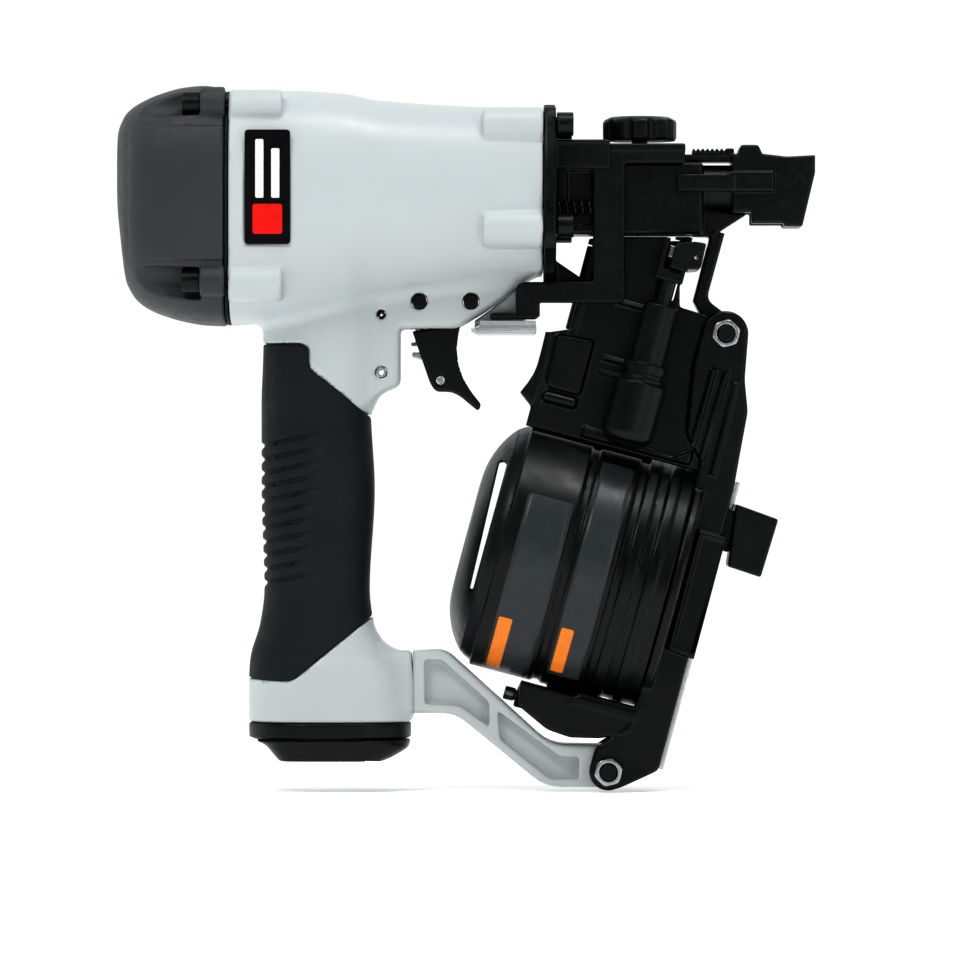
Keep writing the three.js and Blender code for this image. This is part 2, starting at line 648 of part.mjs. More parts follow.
function addTrigger() {
  const outline = [
    [-49.8, -54.6], [-39.6, -53], [-38.4, -50, 1], [-33, -38.4, 4], [-21.8, -38.4, 4], [-22.2, -47.6, 4],
    [-31.6, -52.6, 1], [-32.8, -58.1], [-33, -64.2], [-31.4, -70.3], [-28.6, -76.4], [-23.4, -82.5, 1],
    [-24.6, -85.1, 1], [-28.6, -81.9], [-32.6, -78.4, 2], [-37, -77.4, 2], [-40.8, -77.8, 2], [-43, -74.6],
  ];
  const channel = [
    [-54, -49], [-38.9, -49], [-38.9, -57], [-35.4, -57], [-35.4, -80], [-54, -80],
  ];
  add('trigger', cut(
    plate(outline, -5.8, 5.8),
    plate(channel, -3.6, 3.6),
    rod('y', 3.1, -7, 7, TRIGGER_X, TRIGGER_Z, 16),
    rod('y', 1.6, -7, 7, LEVER_X, LEVER_Z, 12),
  ), blackPlastic);
  add('trigger_pin', rod('y', 2.8, -12.9, 12.9, TRIGGER_X, TRIGGER_Z, 16), blackSteel);

  const lever = [
    [-41, -75.5, 1], [-37.2, -75.5, 1], [-37.2, -70, 1], [-41.8, -62.6], [-49.8, -62.6, 0.5],
    [-49.8, -64.4, 0.5], [-44.6, -66],
  ];
  add('trigger_lever', cut(
    plate(lever, -2.9, 2.9),
    rod('y', 1.6, -7, 7, LEVER_X, LEVER_Z, 12),
  ), bareSteel);
  add('lever_pin', rod('y', 1.3, -5.8, 5.8, LEVER_X, LEVER_Z, 12), bareSteel);

  add('valve_body', cut(
    rod('z', 6.2, -49.4, -35, VALVE_X, 0, 16),
    rod('y', 3.1, -8, 8, VALVE_X, TRIGGER_Z, 16),
    rod('z', 2, -56, -46, VALVE_X, 0, 12),
    rod('z', 2, -41, -33, VALVE_X, 0, 12),
  ), aluminium);
  add('valve_stem', join(
    rod('z', 1.6, -60.2, -49.4, VALVE_X, 0, 12),
    rod('z', 3.2, -60.2, -58.8, VALVE_X, 0, 12),
  ), bareSteel);
  add('valve_pin', rod('y', 2.8, -12.9, 12.9, VALVE_X, TRIGGER_Z, 16), blackSteel);

  const rib = [[-26, -54], [-26, -50.6], [-20, -46.4], [-7.6, -36.3], [-6.4, -38], [-6.4, -54]];
  add('arm_guide', join(
    plate([[-27.7, -54, 1], [-25.5, -55.5, 1], [-2.7, -55.5], [-2.7, -53.1], [-26, -53.1]], -20.3, 20.3),
    plate([[-25.5, -55.5], [-2.7, -55.5], [-2.7, -50.9], [-24, -50.9]], -20.3, -18.9),
    plate([[-25.5, -55.5], [-2.7, -55.5], [-2.7, -50.9], [-24, -50.9]], 18.9, 20.3),
    plate(rib, -5, 5),
  ), aluminium);
}

// ---------------------------------------------------------------- magazine
// Inside this group X is u, along the canister's axis, and Z is v, the way the nails are fed.

function circleOutline(u, v, radius, from, to, steps) {
  return Array.from({ length: steps + 1 }, (_, i) => {
    const angle = from + ((to - from) * i) / steps;
    return [u + radius * Math.cos(angle), v + radius * Math.sin(angle)];
  });
}

function addMagazineFrame() {
  const spine = [
    ...circleOutline(PIVOT_U, PIVOT_HIGH, 8.7, Math.PI, 0.1, 8),
    [52, -62], [56.3, -73.4], [57.5, -88.8], [58.8, -104], [58.8, -214], [46, -224.5],
    ...circleOutline(PIVOT_U, PIVOT_LOW, 7.2, -0.9, -Math.PI, 6),
    [33.2, -212], [44, -200], [44, -96], [36, -88], [31.7, -62],
  ];
  const wall = [
    [-17, -23.8], [19, -14.2], [19, -34], [21, -41.5], [32.4, -41.9], [33.5, -53], [41, -57], [46, -62],
    [46, -99], [44, -100.2],
    [-24, -100.2], [-24, -92.5], [-25.6, -80], [-25.6, -64], [-17.4, -60.5],
  ];
  const lip = [[-25.7, -64], [-25.8, -80], [-29.4, -88.5, 0.5], [-24, -92.5], [-22.8, -88], [-23.2, -64]];
  const foot = [
    [-0.8, -194.7], [0.8, -204, 1], [13.8, -210, 2], [23, -210.6], [34, -208], [45, -203], [45, -194.7],
  ];
  const panel = [[50.3, -121.6, 1], [58.8, -121.6], [58.8, -170.2], [50.3, -168, 1]];
  const doorKnuckle = (low, high) => join(
    rod('z', 2.7, low, high, DOOR_U, DOOR_Y, 12),
    box(-17, -14.8, 3, 7, low, high),
  );
  const coverKnuckle = (low, high) => join(
    rod('x', 4.4, low, high, CANISTER_Y, HINGE_V, 14),
    box(low, high, 0, 7, -205, -196.7),
  );
  const frame = join(
    cut(
      plate(spine, -LUG_OUT, LUG_OUT),
      box(48, 70, -LUG_IN, LUG_IN, -240, -40),
      box(20, 48.1, -LUG_IN, LUG_IN, -96, -30),
      box(20, 48.1, -LUG_IN, LUG_IN, -240, -200),
    ),
    rod('x', 46, 44.2, 48, CANISTER_Y, CANISTER_V, 28),
    plate(wall, -11.8, -7.8),
    plate(lip, -11.8, 9),
    box(-17, -14.8, -11.8, 5, -64, -23.6),
    plate(foot, -LUG_OUT, 4.2),
    plate(panel, -17.6, -LUG_OUT + 0.4),
    doorKnuckle(-26.8, -24),
    doorKnuckle(-64, -60.7),
    rod('x', 5, -6, 45, CANISTER_Y, CANISTER_V, 18),
    coverKnuckle(-0.8, 9.4),
    coverKnuckle(30, 40),
  );
  const pawlWindow = box(10, 18, -14, -6, -40, -17);
  const topTrim = plate([[-30, -27.2], [-30, 0], [30, 0], [30, -11.3]], -20, 20);
  add('magazine_frame', cut(
    frame,
    pawlWindow,
    topTrim,
    rod('y', 3.4, -20, 20, PIVOT_U, PIVOT_HIGH, 16),
    rod('y', 3.4, -20, 20, PIVOT_U, PIVOT_LOW, 16),
    rod('z', 1.5, -70, -20, DOOR_U, DOOR_Y, 12),
    rod('x', 2.3, -10, 42, CANISTER_Y, HINGE_V, 12),
  ), blackCasting, magazine);

  for (const [level, v] of [['upper', PIVOT_HIGH], ['lower', PIVOT_LOW]]) {
    add(`${level}_magazine_bolt`, cut(
      join(rod('y', 3.1, -21.6, 16, PIVOT_U, v, 14), rod('y', 5.4, 15.7, 19.7, PIVOT_U, v, 18)),
      hexagon('y', 5, 17.6, 21, PIVOT_U, v),
    ), blackSteel, magazine);
    add(`${level}_magazine_nut`, cut(
      hexagon('y', 10, -20.9, -15.7, PIVOT_U, v),
      rod('y', 3.4, -23, -13, PIVOT_U, v, 16),
    ), bareSteel, magazine);
  }
}

function canisterShell() {
  return turned('x', [
    [43.7, CANISTER_R], [-19.5, CANISTER_R], [-25, 47.3], [-29, 43], [-32.5, 36], [-34.6, 28],
    [-35.1, 20], [-35.1, 0], [-32.7, 0], [-32.7, 19], [-32.2, 27], [-30.4, 34.6], [-27.2, 41.2],
    [-24, 44.8], [-19.5, CANISTER_R - WALL], [43.7, CANISTER_R - WALL],
  ], CANISTER_Y, CANISTER_V, 32);
}

function addCanister() {
  const reach = 70;
  const window = box(-29.4, -26.6, -90, 90, -166, -115.7);
  const slot = box(-21, 26, -7.6, 12, -120, -90);
  const right = box(-50, 60, CANISTER_Y - 0.15 - reach, CANISTER_Y - 0.15, -220, -80);
  const left = box(-50, 60, CANISTER_Y + 0.15, CANISTER_Y + 0.15 + reach, -220, -80);
  add('canister_body', cut(canisterShell().intersect(right), window, slot), blackPlastic, magazine);
  const hingeKnuckle = join(
    rod('x', 4.4, 9.8, 29.6, CANISTER_Y, HINGE_V, 16),
    box(9.8, 29.6, CANISTER_Y + 0.4, CANISTER_Y + 4.4, HINGE_V, CANISTER_V - CANISTER_R + 2),
  );
  add('canister_cover', cut(
    join(canisterShell().intersect(left), hingeKnuckle),
    window,
    rod('x', 2.3, 0, 42, CANISTER_Y, HINGE_V, 12),
  ), blackPlastic, magazine);
  add('canister_hinge_pin', join(
    rod('x', 2, -3, 40, CANISTER_Y, HINGE_V, 12),
    rod('x', 2.6, -5.5, -1.3, CANISTER_Y, HINGE_V, 12),
  ), aluminium, magazine);
  add('nail_platform', turned('x', [
    [30, 30], [30, 5.5], [20, 5.5], [20, 8], [28, 8], [28, 30],
  ].reverse(), CANISTER_Y, CANISTER_V, 32), blackPlastic, magazine);
}

function addFeed() {
  add('feed_cylinder', turned('z', [
    [-99, 0], [-98, 6], [-95, 9.4], [-93, 10], [-73.2, 10], [-73, 8.4], [-66, 8.4], [-65.8, 6.8],
    [-43, 6.8], [-43, 3], [-73, 3], [-74, 8], [-96.4, 8], [-96.4, 0],
  ], FEED_U, FEED_Y, 18), blackCasting, magazine);
  const carriage = cut(
    box(8.6, 19.4, -26, -12.2, -33.5, -17.5),
    box(10.8, 17.2, -30, -10, -29.5, -15),
    rod('x', 1.8, 5, 22, PAWL_Y, PAWL_V, 10),
  );
  add('feed_piston', join(
    turned('z', [[-80.5, 0], [-80.5, 7.6], [-75.5, 7.6], [-75.5, 0]], FEED_U, FEED_Y, 24),
    rod('z', 2.6, -77, -31, FEED_U, FEED_Y, 12),
    carriage,
  ), bareSteel, magazine);
  add('feed_spring', coil('z', 5.6, 0.6, -96, -80.8, 4, FEED_U, FEED_Y), bareSteel, magazine);
  add('feed_pawl', join(
    slab([[11.2, -20.5], [16.8, -20.5], [16.8, -6], [15.4, -4.2], [12.6, -4.2], [11.2, -6]], -24.5, -19.9),
    rod('x', 1.5, 8.8, 19.2, PAWL_Y, PAWL_V, 10),
  ), bareSteel, magazine);
}

function addDoor() {
  const panel = [[-13, -59.8], [17.8, -59.8, 2], [17.8, -30, 2], [17.8, -15.6], [-13, -23.8]];
  add('feed_door', cut(
    join(
      plate(panel, 7, 9.4),
      rod('z', 2.7, -60.2, -27.2, DOOR_U, DOOR_Y, 14),
      box(DOOR_U, -12, 7.2, 9.4, -59.8, -27.4),
    ),
    rod('z', 1.5, -70, -20, DOOR_U, DOOR_Y, 12),
  ), blackSteel, magazine);
  add('door_hinge_pin', rod('z', 1.2, -63.8, -27, DOOR_U, DOOR_Y, 12), bareSteel, magazine);
  add('door_latch', cut(
    join(
      plate([[19.8, -27.6, 1], [24.6, -26, 1], [24.2, -16.2, 1], [19.8, -16.6]], -29.4, 12),
      plate([[13, -28.6, 1], [20, -28.6], [20, -16.6], [13, -19, 1]], -29.4, -26.5),
    ),
    rod('y', 1.1, -40, 20, 22, -21.9, 8),
  ), blackSteel, magazine);
}

function addShingleGuide() {
  add('guide_rail', join(
    box(56, 60.8, -5, 5, -213.6, -100),
    box(48.3, 56.5, -5, 5, -106.5, -100),
    box(48.3, 56.5, -5, 5, -213.6, -207),
  ), aluminium, magazine);
  const block = [[61.2, -108.4], [78.2, -109.9, 1], [77.4, -133, 1], [64.2, -132.2, 1]];
  const hollow = [[63.6, -112], [79.4, -113], [79.4, -130], [66, -129.4]];
  add('shingle_guide', cut(
    join(
      plate(block, -13, 13),
      box(54.2, 63, -9, 9, -127, -111),
    ),
    box(53, 61.1, -5.3, 5.3, -135, -105),
    plate(hollow, -10, 10),
    rod('y', 2.2, 0, 20, 70.5, -121, 12),
  ), blackCasting, magazine);
  add('guide_knob', join(
    rod('y', 6.5, 13.3, 19, 70.5, -121, 18),
    rod('y', 1.9, 8, 13.6, 70.5, -121, 12),
  ), blackPlastic, magazine);
}

addHousing();
addHandleCap();
addMagazineArm();
addRearCap();
addDrive();
addNose();
addContactFoot();
addTrigger();
addMagazineFrame();
addCanister();
addFeed();
addDoor();
addShingleGuide();

tool.position.set(-(REAR + TIP) / 2, -(SIDE_RIGHT + SIDE_LEFT) / 2, -FLOOR);

export default tool;
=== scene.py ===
"""The looks of a pneumatic coil nailer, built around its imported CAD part.

Every casting, moulding and machined piece is a smooth skin drawn round a distance field: a function of
x, y and z in millimetres that is negative inside the piece. Fields are joined and cut with rounded
edges, as castings and mouldings are. Lengths are in millimetres from the point where the drive axis
meets the housing's front face; the magazine's pieces use u, along the canister's axis, and v, the way
the nails are fed.
"""
import json
from math import asin, cos, pi, radians, sin

import bmesh
import bpy
import numpy as np
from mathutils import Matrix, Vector


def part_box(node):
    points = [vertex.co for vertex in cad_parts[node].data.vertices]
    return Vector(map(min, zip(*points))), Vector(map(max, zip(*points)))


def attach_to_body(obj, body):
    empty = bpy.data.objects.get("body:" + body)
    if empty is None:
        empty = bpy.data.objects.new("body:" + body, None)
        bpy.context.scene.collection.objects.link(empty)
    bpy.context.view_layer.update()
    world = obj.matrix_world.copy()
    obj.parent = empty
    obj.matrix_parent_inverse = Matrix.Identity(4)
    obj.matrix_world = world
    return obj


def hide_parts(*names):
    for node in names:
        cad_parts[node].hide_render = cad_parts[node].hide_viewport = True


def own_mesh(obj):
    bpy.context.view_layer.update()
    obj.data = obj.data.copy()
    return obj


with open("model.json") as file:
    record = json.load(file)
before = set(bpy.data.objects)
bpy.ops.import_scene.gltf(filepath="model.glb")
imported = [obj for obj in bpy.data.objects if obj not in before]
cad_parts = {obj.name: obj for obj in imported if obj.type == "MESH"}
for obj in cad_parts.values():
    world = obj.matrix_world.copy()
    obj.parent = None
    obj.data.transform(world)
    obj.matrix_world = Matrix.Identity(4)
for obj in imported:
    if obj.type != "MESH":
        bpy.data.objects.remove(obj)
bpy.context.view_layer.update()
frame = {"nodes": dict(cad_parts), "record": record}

# ---------------------------------------------------------------- the shared frame

MM = 0.001
TIP = 103.7                     # end of the contact foot
TILT = radians(15)
THROAT_X = 42.6                 # where the nail channel's middle meets the drive axis

blade_low, blade_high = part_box("driver_blade")
foot_low, foot_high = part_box("contact_foot")
ORIGIN = np.array([
    foot_high[0] - TIP * MM,
    (blade_low[1] + blade_high[1]) / 2,
    (blade_low[2] + blade_high[2]) / 2,
])


def level(points):
    """Points of the tool itself, in millimetres, as points of the frame."""
    return np.asarray(points, float) * MM + ORIGIN


def tilted(points):
    """Points of the tilted magazine, (u, y, v) in millimetres, as points of the frame."""
    u, y, v = np.asarray(points, float).T
    x = THROAT_X + u * cos(TILT) + v * sin(TILT)
    z = v * cos(TILT) - u * sin(TILT)
    return level(np.stack([x, y, z], axis=1))


def tool_point(u, v):
    """A place (u, v) of the magazine, as (x, z) of the tool."""
    return THROAT_X + u * cos(TILT) + v * sin(TILT), v * cos(TILT) - u * sin(TILT)


# ---------------------------------------------------------------- distance fields

def union(a, b, r):
    """Two distances joined, with a fillet of radius r in the corner between them."""
    if r <= 0:
        return np.minimum(a, b)
    corner = np.sqrt(np.maximum(r - a, 0) ** 2 + np.maximum(r - b, 0) ** 2)
    return np.maximum(r, np.minimum(a, b)) - corner


def overlap(a, b, r):
    """Where two distances are both inside, with the edge between them rounded to radius r."""
    if r <= 0:
        return np.maximum(a, b)
    corner = np.sqrt(np.maximum(r + a, 0) ** 2 + np.maximum(r + b, 0) ** 2)
    return np.minimum(-r, np.maximum(a, b)) + corner


def join(r, first, *others):
    """Fields joined with fillets of radius r."""
    def field(x, y, z):
        d = first(x, y, z)
        for other in others:
            d = union(d, other(x, y, z), r)
        return d
    return field


def cut(r, base, *tools):
    """A field with others taken out of it, and the edges rounded to radius r."""
    def field(x, y, z):
        d = base(x, y, z)
        for tool in tools:
            d = overlap(d, -tool(x, y, z), r)
        return d
    return field


def both(r, a, b):
    return lambda x, y, z: overlap(a(x, y, z), b(x, y, z), r)


def box(x0, x1, y0, y1, z0, z1, r=0.6):
    r = min(r, (x1 - x0) * 0.49, (y1 - y0) * 0.49, (z1 - z0) * 0.49)

    def field(x, y, z):
        a = np.abs(x - (x0 + x1) / 2) - (x1 - x0) / 2 + r
        b = np.abs(y - (y0 + y1) / 2) - (y1 - y0) / 2 + r
        c = np.abs(z - (z0 + z1) / 2) - (z1 - z0) / 2 + r
        outside = np.sqrt(np.maximum(a, 0) ** 2 + np.maximum(b, 0) ** 2 + np.maximum(c, 0) ** 2)
        return outside + np.minimum(np.maximum(a, np.maximum(b, c)), 0) - r
    return field


def along_first(axis, x, y, z):
    """The coordinate along an axis, then the other two."""
    return {"x": (x, y, z), "y": (y, x, z), "z": (z, x, y)}[axis]


def split(axis, x, y, z, p, q):
    """The coordinate along an axis, and the distance from the line along it through p, q."""
    along, a, b = along_first(axis, x, y, z)
    return along, np.sqrt((a - p) ** 2 + (b - q) ** 2)


def rod(axis, radius, low, high, p=0, q=0, r=0.4):
    """A round bar with rounded ends; p and q are its centre on the other two axes."""
    r = min(r, radius * 0.9, (high - low) * 0.45)

    def field(x, y, z):
        along, away = split(axis, x, y, z, p, q)
        a = np.abs(along - (low + high) / 2) - (high - low) / 2 + r
        b = away - radius + r
        return np.sqrt(np.maximum(a, 0) ** 2 + np.maximum(b, 0) ** 2) + np.minimum(np.maximum(a, b), 0) - r
    return field


def rounded(points, steps=4):
    """An outline of (a, b) or (a, b, corner radius) as a plain outline, each corner a short curve."""
    outline = []
    count = len(points)
    for i, point in enumerate(points):
        here = np.array(point[:2], float)
        radius = point[2] if len(point) > 2 else 0
        if not radius:
            outline.append(here)
            continue
        before = np.array(points[i - 1][:2], float) - here
        after = np.array(points[(i + 1) % count][:2], float) - here
        start = here + before / np.linalg.norm(before) * radius
        end = here + after / np.linalg.norm(after) * radius
        for t in np.linspace(0, 1, steps + 1):
            outline.append((1 - t) ** 2 * start + 2 * t * (1 - t) * here + t * t * end)
    return np.array(outline)


def inside_outline(outline, a, b):
    """The distance from points (a, b) to a closed outline, negative inside it."""
    nearest = None
    inward = np.zeros(np.broadcast(a, b).shape, bool)
    for (pa, pb), (qa, qb) in zip(outline, np.roll(outline, -1, axis=0)):
        ea, eb = qa - pa, qb - pb
        wa, wb = a - pa, b - pb
        t = np.clip((wa * ea + wb * eb) / (ea * ea + eb * eb + 1e-12), 0, 1)
        gap = (wa - t * ea) ** 2 + (wb - t * eb) ** 2
        nearest = gap if nearest is None else np.minimum(nearest, gap)
        if eb != 0:
            crosses = ((pb > b) != (qb > b)) & (a < pa + ea * (b - pb) / eb)
            inward ^= crosses
    return np.where(inward, -1, 1) * np.sqrt(nearest)


def prism(axis, points, low, high, r=0.6):
    """A flat plate across an axis, from low to high, of an outline on the other two axes."""
    outline = rounded(points)

    def field(x, y, z):
        along, a, b = along_first(axis, x, y, z)
        faces = np.abs(along - (low + high) / 2) - (high - low) / 2
        return overlap(inside_outline(outline, a, b), faces, min(r, (high - low) * 0.49))
    return field


def plate(points, y0, y1, r=0.6):
    """A flat plate of an outline of (x, z), from y0 to y1."""
    return prism("y", points, y0, y1, r)


def turned(axis, profile, p=0, q=0):
    """A turned body; the profile is a closed outline of (along, radius) or with a corner radius."""
    outline = rounded(profile)

    def field(x, y, z):
        along, away = split(axis, x, y, z, p, q)
        return inside_outline(outline, along, away)
    return field


def hexagon(axis, flats, low, high, p=0, q=0, r=0.3):
    """A six-sided bar, so wide across its flats."""
    def field(x, y, z):
        along, a, b = along_first(axis, x, y, z)
        sides = [np.abs((a - p) * cos(t) + (b - q) * sin(t)) - flats / 2 for t in (0, pi / 3, 2 * pi / 3)]
        hexagonal = overlap(overlap(sides[0], sides[1], r), sides[2], r)
        return overlap(hexagonal, np.abs(along - (low + high) / 2) - (high - low) / 2, r)
    return field


def smooth_through(places, values):
    """A curve through values at places that never overshoots them."""
    places, values = np.array(places, float), np.array(values, float)
    if places[0] > places[-1]:
        places, values = places[::-1], values[::-1]
    step = np.diff(places)
    rise = np.diff(values) / step
    slope = np.concatenate([rise[:1], np.zeros(len(rise) - 1), rise[-1:]])
    product = rise[:-1] * rise[1:]
    total = rise[:-1] + rise[1:]
    slope[1:-1] = np.where(product > 0, 2 * product / np.where(total == 0, 1, total), 0)

    def at(s):
        i = np.clip(np.searchsorted(places, s) - 1, 0, len(step) - 1)
        t = np.clip((s - places[i]) / step[i], 0, 1)
        return (
            values[i] * (1 + 2 * t) * (1 - t) ** 2
            + values[i + 1] * t * t * (3 - 2 * t)
            + step[i] * (slope[i] * t * (1 - t) ** 2 - slope[i + 1] * t * t * (1 - t))
        )
    return at


def loft(axis, sections, grow=0, r=1.2):
    """A body through rounded rectangles. A section is (place, low, high, half, power): its place along
    X or Z, its low and high edges on the other of the two, its half width along Y, and how square it is."""
    places = [s[0] for s in sections]
    low, high, half, power = (smooth_through(places, [s[k] for s in sections]) for k in (1, 2, 3, 4))
    first, last = min(places), max(places)

    def field(x, y, z):
        along, across = (x, z) if axis == "x" else (z, x)
        lo, hi, width, n = low(along), high(along), half(along), power(along)
        a, b = (hi - lo) / 2 + grow, width + grow
        p, q = np.abs(across - (lo + hi) / 2) / a, np.abs(y) / b
        reach = np.maximum((p ** n + q ** n) ** (1 / n), 0.05)
        steep = reach ** (1 - n) * np.sqrt((p ** (n - 1) / a) ** 2 + (q ** (n - 1) / b) ** 2)
        side = (reach - 1) / np.maximum(steep, 0.5 / np.maximum(a, b))
        return overlap(side, np.abs(along - (first + last) / 2) - (last - first) / 2, r)
    return field


# ---------------------------------------------------------------- skins

def skin(field, low, high, cell):
    """The surface of a field as points and quads: a net of one point in each cell that it passes."""
    axes = [np.arange(a - 1.6 * cell, b + 2.6 * cell, cell) for a, b in zip(low, high)]
    x, y, z = np.ix_(*axes)
    d = np.broadcast_to(field(x, y, z), tuple(len(a) for a in axes)).astype(np.float32)
    inner = d < 0
    corners = [(i, j, k) for i in (0, 1) for j in (0, 1) for k in (0, 1)]
    size = [n - 1 for n in d.shape]

    def corner(values, at):
        return values[tuple(slice(o, o + n) for o, n in zip(at, size))]

    count = sum(corner(inner, c).astype(np.int8) for c in corners)
    active = (count > 0) & (count < 8)
    cells = np.argwhere(active)
    number = np.full(active.shape, -1, np.int64)
    number[active] = np.arange(len(cells))
    total = np.zeros((len(cells), 3))
    crossings = np.zeros(len(cells))
    for c in corners:
        for way in range(3):
            if c[way]:
                continue
            other = tuple(v + (n == way) for n, v in enumerate(c))
            here = d[tuple((cells + c).T)]
            there = d[tuple((cells + other).T)]
            crossed = (here < 0) != (there < 0)
            t = np.where(crossed, here / np.where(crossed, here - there, 1), 0)
            place = np.array(c, float) + t[:, None] * np.eye(3)[way]
            total += place * crossed[:, None]
            crossings += crossed
    start = np.array([a[0] for a in axes])
    points = start + (cells + total / crossings[:, None]) * cell
    quads = []
    for way in range(3):
        a, b = [n for n in range(3) if n != way]
        lower = tuple(slice(1, -1) if n != way else slice(0, -1) for n in range(3))
        upper = tuple(slice(1, -1) if n != way else slice(1, None) for n in range(3))
        first, second = inner[lower], inner[upper]
        at = np.argwhere(first != second) + [1 if n != way else 0 for n in range(3)]
        step_a, step_b = np.eye(3, dtype=int)[a], np.eye(3, dtype=int)[b]
        ring = [number[tuple((at - o).T)] for o in (0 * step_a, step_a, step_a + step_b, step_b)]
        face = np.stack(ring, axis=1)
        outwards = inner[tuple(at.T)] ^ (way == 1)
        face[~outwards] = face[~outwards][:, ::-1]
        quads.append(face)
    points = settle(field, points, cell)
    return points, np.concatenate(quads)


def slope(field, points, step):
    """How fast a field grows along X, Y and Z at each point."""
    x, y, z = points.T
    return np.stack([
        field(x + step, y, z) - field(x - step, y, z),
        field(x, y + step, z) - field(x, y - step, z),
        field(x, y, z + step) - field(x, y, z - step),
    ], axis=1) / (2 * step)


def settle(field, points, cell):
    """Moves each point onto the surface of the field, by at most half a cell at a time."""
    for _ in range(2):
        grade = slope(field, points, cell * 0.1)
        steep = np.maximum((grade ** 2).sum(axis=1), 0.2)
        move = -grade * (field(*points.T) / steep)[:, None]
        length = np.linalg.norm(move, axis=1)
        points = points + move * np.minimum(1, 0.5 * cell / np.maximum(length, 1e-9))[:, None]
    return points


# ---------------------------------------------------------------- pieces

bodies = frame["record"]["behaviour"]["bodies"]
body_of_node = {node: body for body, nodes in bodies.items() for node in nodes}


def mesh_object(name, points, faces, material, normals=None):
    """A smooth mesh as an object of the scene."""
    mesh = bpy.data.meshes.new(name)
    mesh.from_pydata(points.tolist(), [], faces.tolist())
    mesh.shade_smooth()
    if normals is not None:
        mesh.normals_split_custom_set_from_vertices(normals.tolist())
    mesh.materials.append(material)
    piece = bpy.data.objects.new(name, mesh)
    bpy.context.scene.collection.objects.link(piece)
    return piece


def attach(piece, node, stands_for=True):
    """The piece moves with a CAD node's body, and may stand for it."""
    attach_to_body(piece, body_of_node[node])
    if stands_for:
        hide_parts(node)


def node_limits(node, place):
    """A CAD node's lowest and highest corners in the millimetres of its fields."""
    low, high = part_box(node)
    x, y, z = ((np.array([low, high]) - ORIGIN) / MM).T
    if place is tilted:
        mesh = frame["nodes"][node].data
        x, y, z = ((np.array([v.co for v in mesh.vertices]) - ORIGIN) / MM).T
        u = (x - THROAT_X) * cos(TILT) - z * sin(TILT)
        v = (x - THROAT_X) * sin(TILT) + z * cos(TILT)
        x, z = u, v
    return (x.min(), y.min(), z.min()), (x.max(), y.max(), z.max())


def form(node, field, cell, material, place=level, name=None, limits=None):
    """A smooth piece of a field, in cells of a given size. It stands for a CAD node, or is a detail on it if
    it has a name of its own."""
    low, high = limits or node_limits(node, place)
    points, faces = skin(field, low, high, cell)
    grade = slope(field, points, cell * 0.15)
    tips = place(points + grade / np.maximum(np.linalg.norm(grade, axis=1), 1e-9)[:, None])
    base = place(points)
    normals = (tips - base) / np.maximum(np.linalg.norm(tips - base, axis=1), 1e-9)[:, None]
    piece = mesh_object(name or f"fine_{node}", base, faces, material, normals)
    attach(piece, node, stands_for=name is None)
    return piece


STEPS_PER_TURN = 28
CLOSED = 0.09                   # share of a spring's wire in each closed end
OPEN_RISE = 0.86                # share of its length that the open turns climb


def spring(
    node, joint, travel, axis, radius, wire, low, high, turns, material, p=0, q=0, place=level,
):
    """A round-wire coil spring with closed ends, from its low end to its high end; the joint is not used."""
    steps, around = int(turns * STEPS_PER_TURN), 12
    t = np.linspace(0, 1, steps + 1)
    rise = np.clip((t - CLOSED) / (1 - 2 * CLOSED), 0, 1)
    along = low + wire + (high - low - 2 * wire) * (rise * OPEN_RISE + t * (1 - OPEN_RISE))
    angle = 2 * pi * turns * t
    ring = []
    for k in range(around):
        swing = 2 * pi * k / around
        out = radius + wire * cos(swing)
        ring.append((out * np.cos(angle), out * np.sin(angle), along + wire * sin(swing)))
    a, b, c = np.array(ring).transpose(1, 2, 0)
    order = {"x": (c, a + p, b + q), "z": (a + p, b + q, c)}[axis]
    points = place(np.stack([o.reshape(-1) for o in order], axis=1))
    faces = []
    for i in range(steps):
        for k in range(around):
            n = (k + 1) % around
            a, b = i * around, (i + 1) * around
            faces.append([a + k, a + n, b + n, b + k])
    piece = mesh_object(f"fine_{node}", points, np.array(faces), material)
    close_ends(piece, around)
    attach(piece, node)
    seat, head = [{"x": (end, p, q), "z": (p, q, end)}[axis] for end in (low, high)]
    seat, head = place(np.array([seat, head], float))
    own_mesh(piece)
    return piece


def close_ends(piece, around):
    """Closes the two open rings of a tube."""
    mesh = bmesh.new()
    mesh.from_mesh(piece.data)
    mesh.verts.ensure_lookup_table()
    total = len(mesh.verts)
    mesh.faces.new([mesh.verts[i] for i in range(around)])
    mesh.faces.new([mesh.verts[i] for i in range(total - around, total)])
    bmesh.ops.recalc_face_normals(mesh, faces=mesh.faces)
    mesh.to_mesh(piece.data)
    mesh.free()
    piece.data.shade_smooth()


# ---------------------------------------------------------------- materials

NOISE_LOW, NOISE_HIGH = 0.3, 0.7            # what noise mostly stays between


def add(tree, kind, output, *values, operation=None, **named):
    """A new shader node. Its inputs, in order or by name, are set to a value or linked to another node's
    output. Gives its own output of that name."""
    node = tree.nodes.new("ShaderNode" + kind)
    if operation:
        node.operation = operation
    sockets = [node.inputs[name.replace("_", " ")] for name in named]
    for socket, value in [*zip(node.inputs, values), *zip(sockets, named.values())]:
        if isinstance(value, bpy.types.NodeSocket):
            tree.links.new(value, socket)
        else:
            socket.default_value = value
    return node.outputs[output]


def noise(tree, place, size, detail=3.0, stretch=None):
    """Noise whose grains are about size millimetres across, stretched along an axis if asked."""
    if stretch:
        place = add(tree, "Mapping", "Vector", Vector=place, Scale=stretch)
    return add(tree, "TexNoise", "Fac", Vector=place, Scale=1 / (size * MM), Detail=detail, Roughness=0.55)


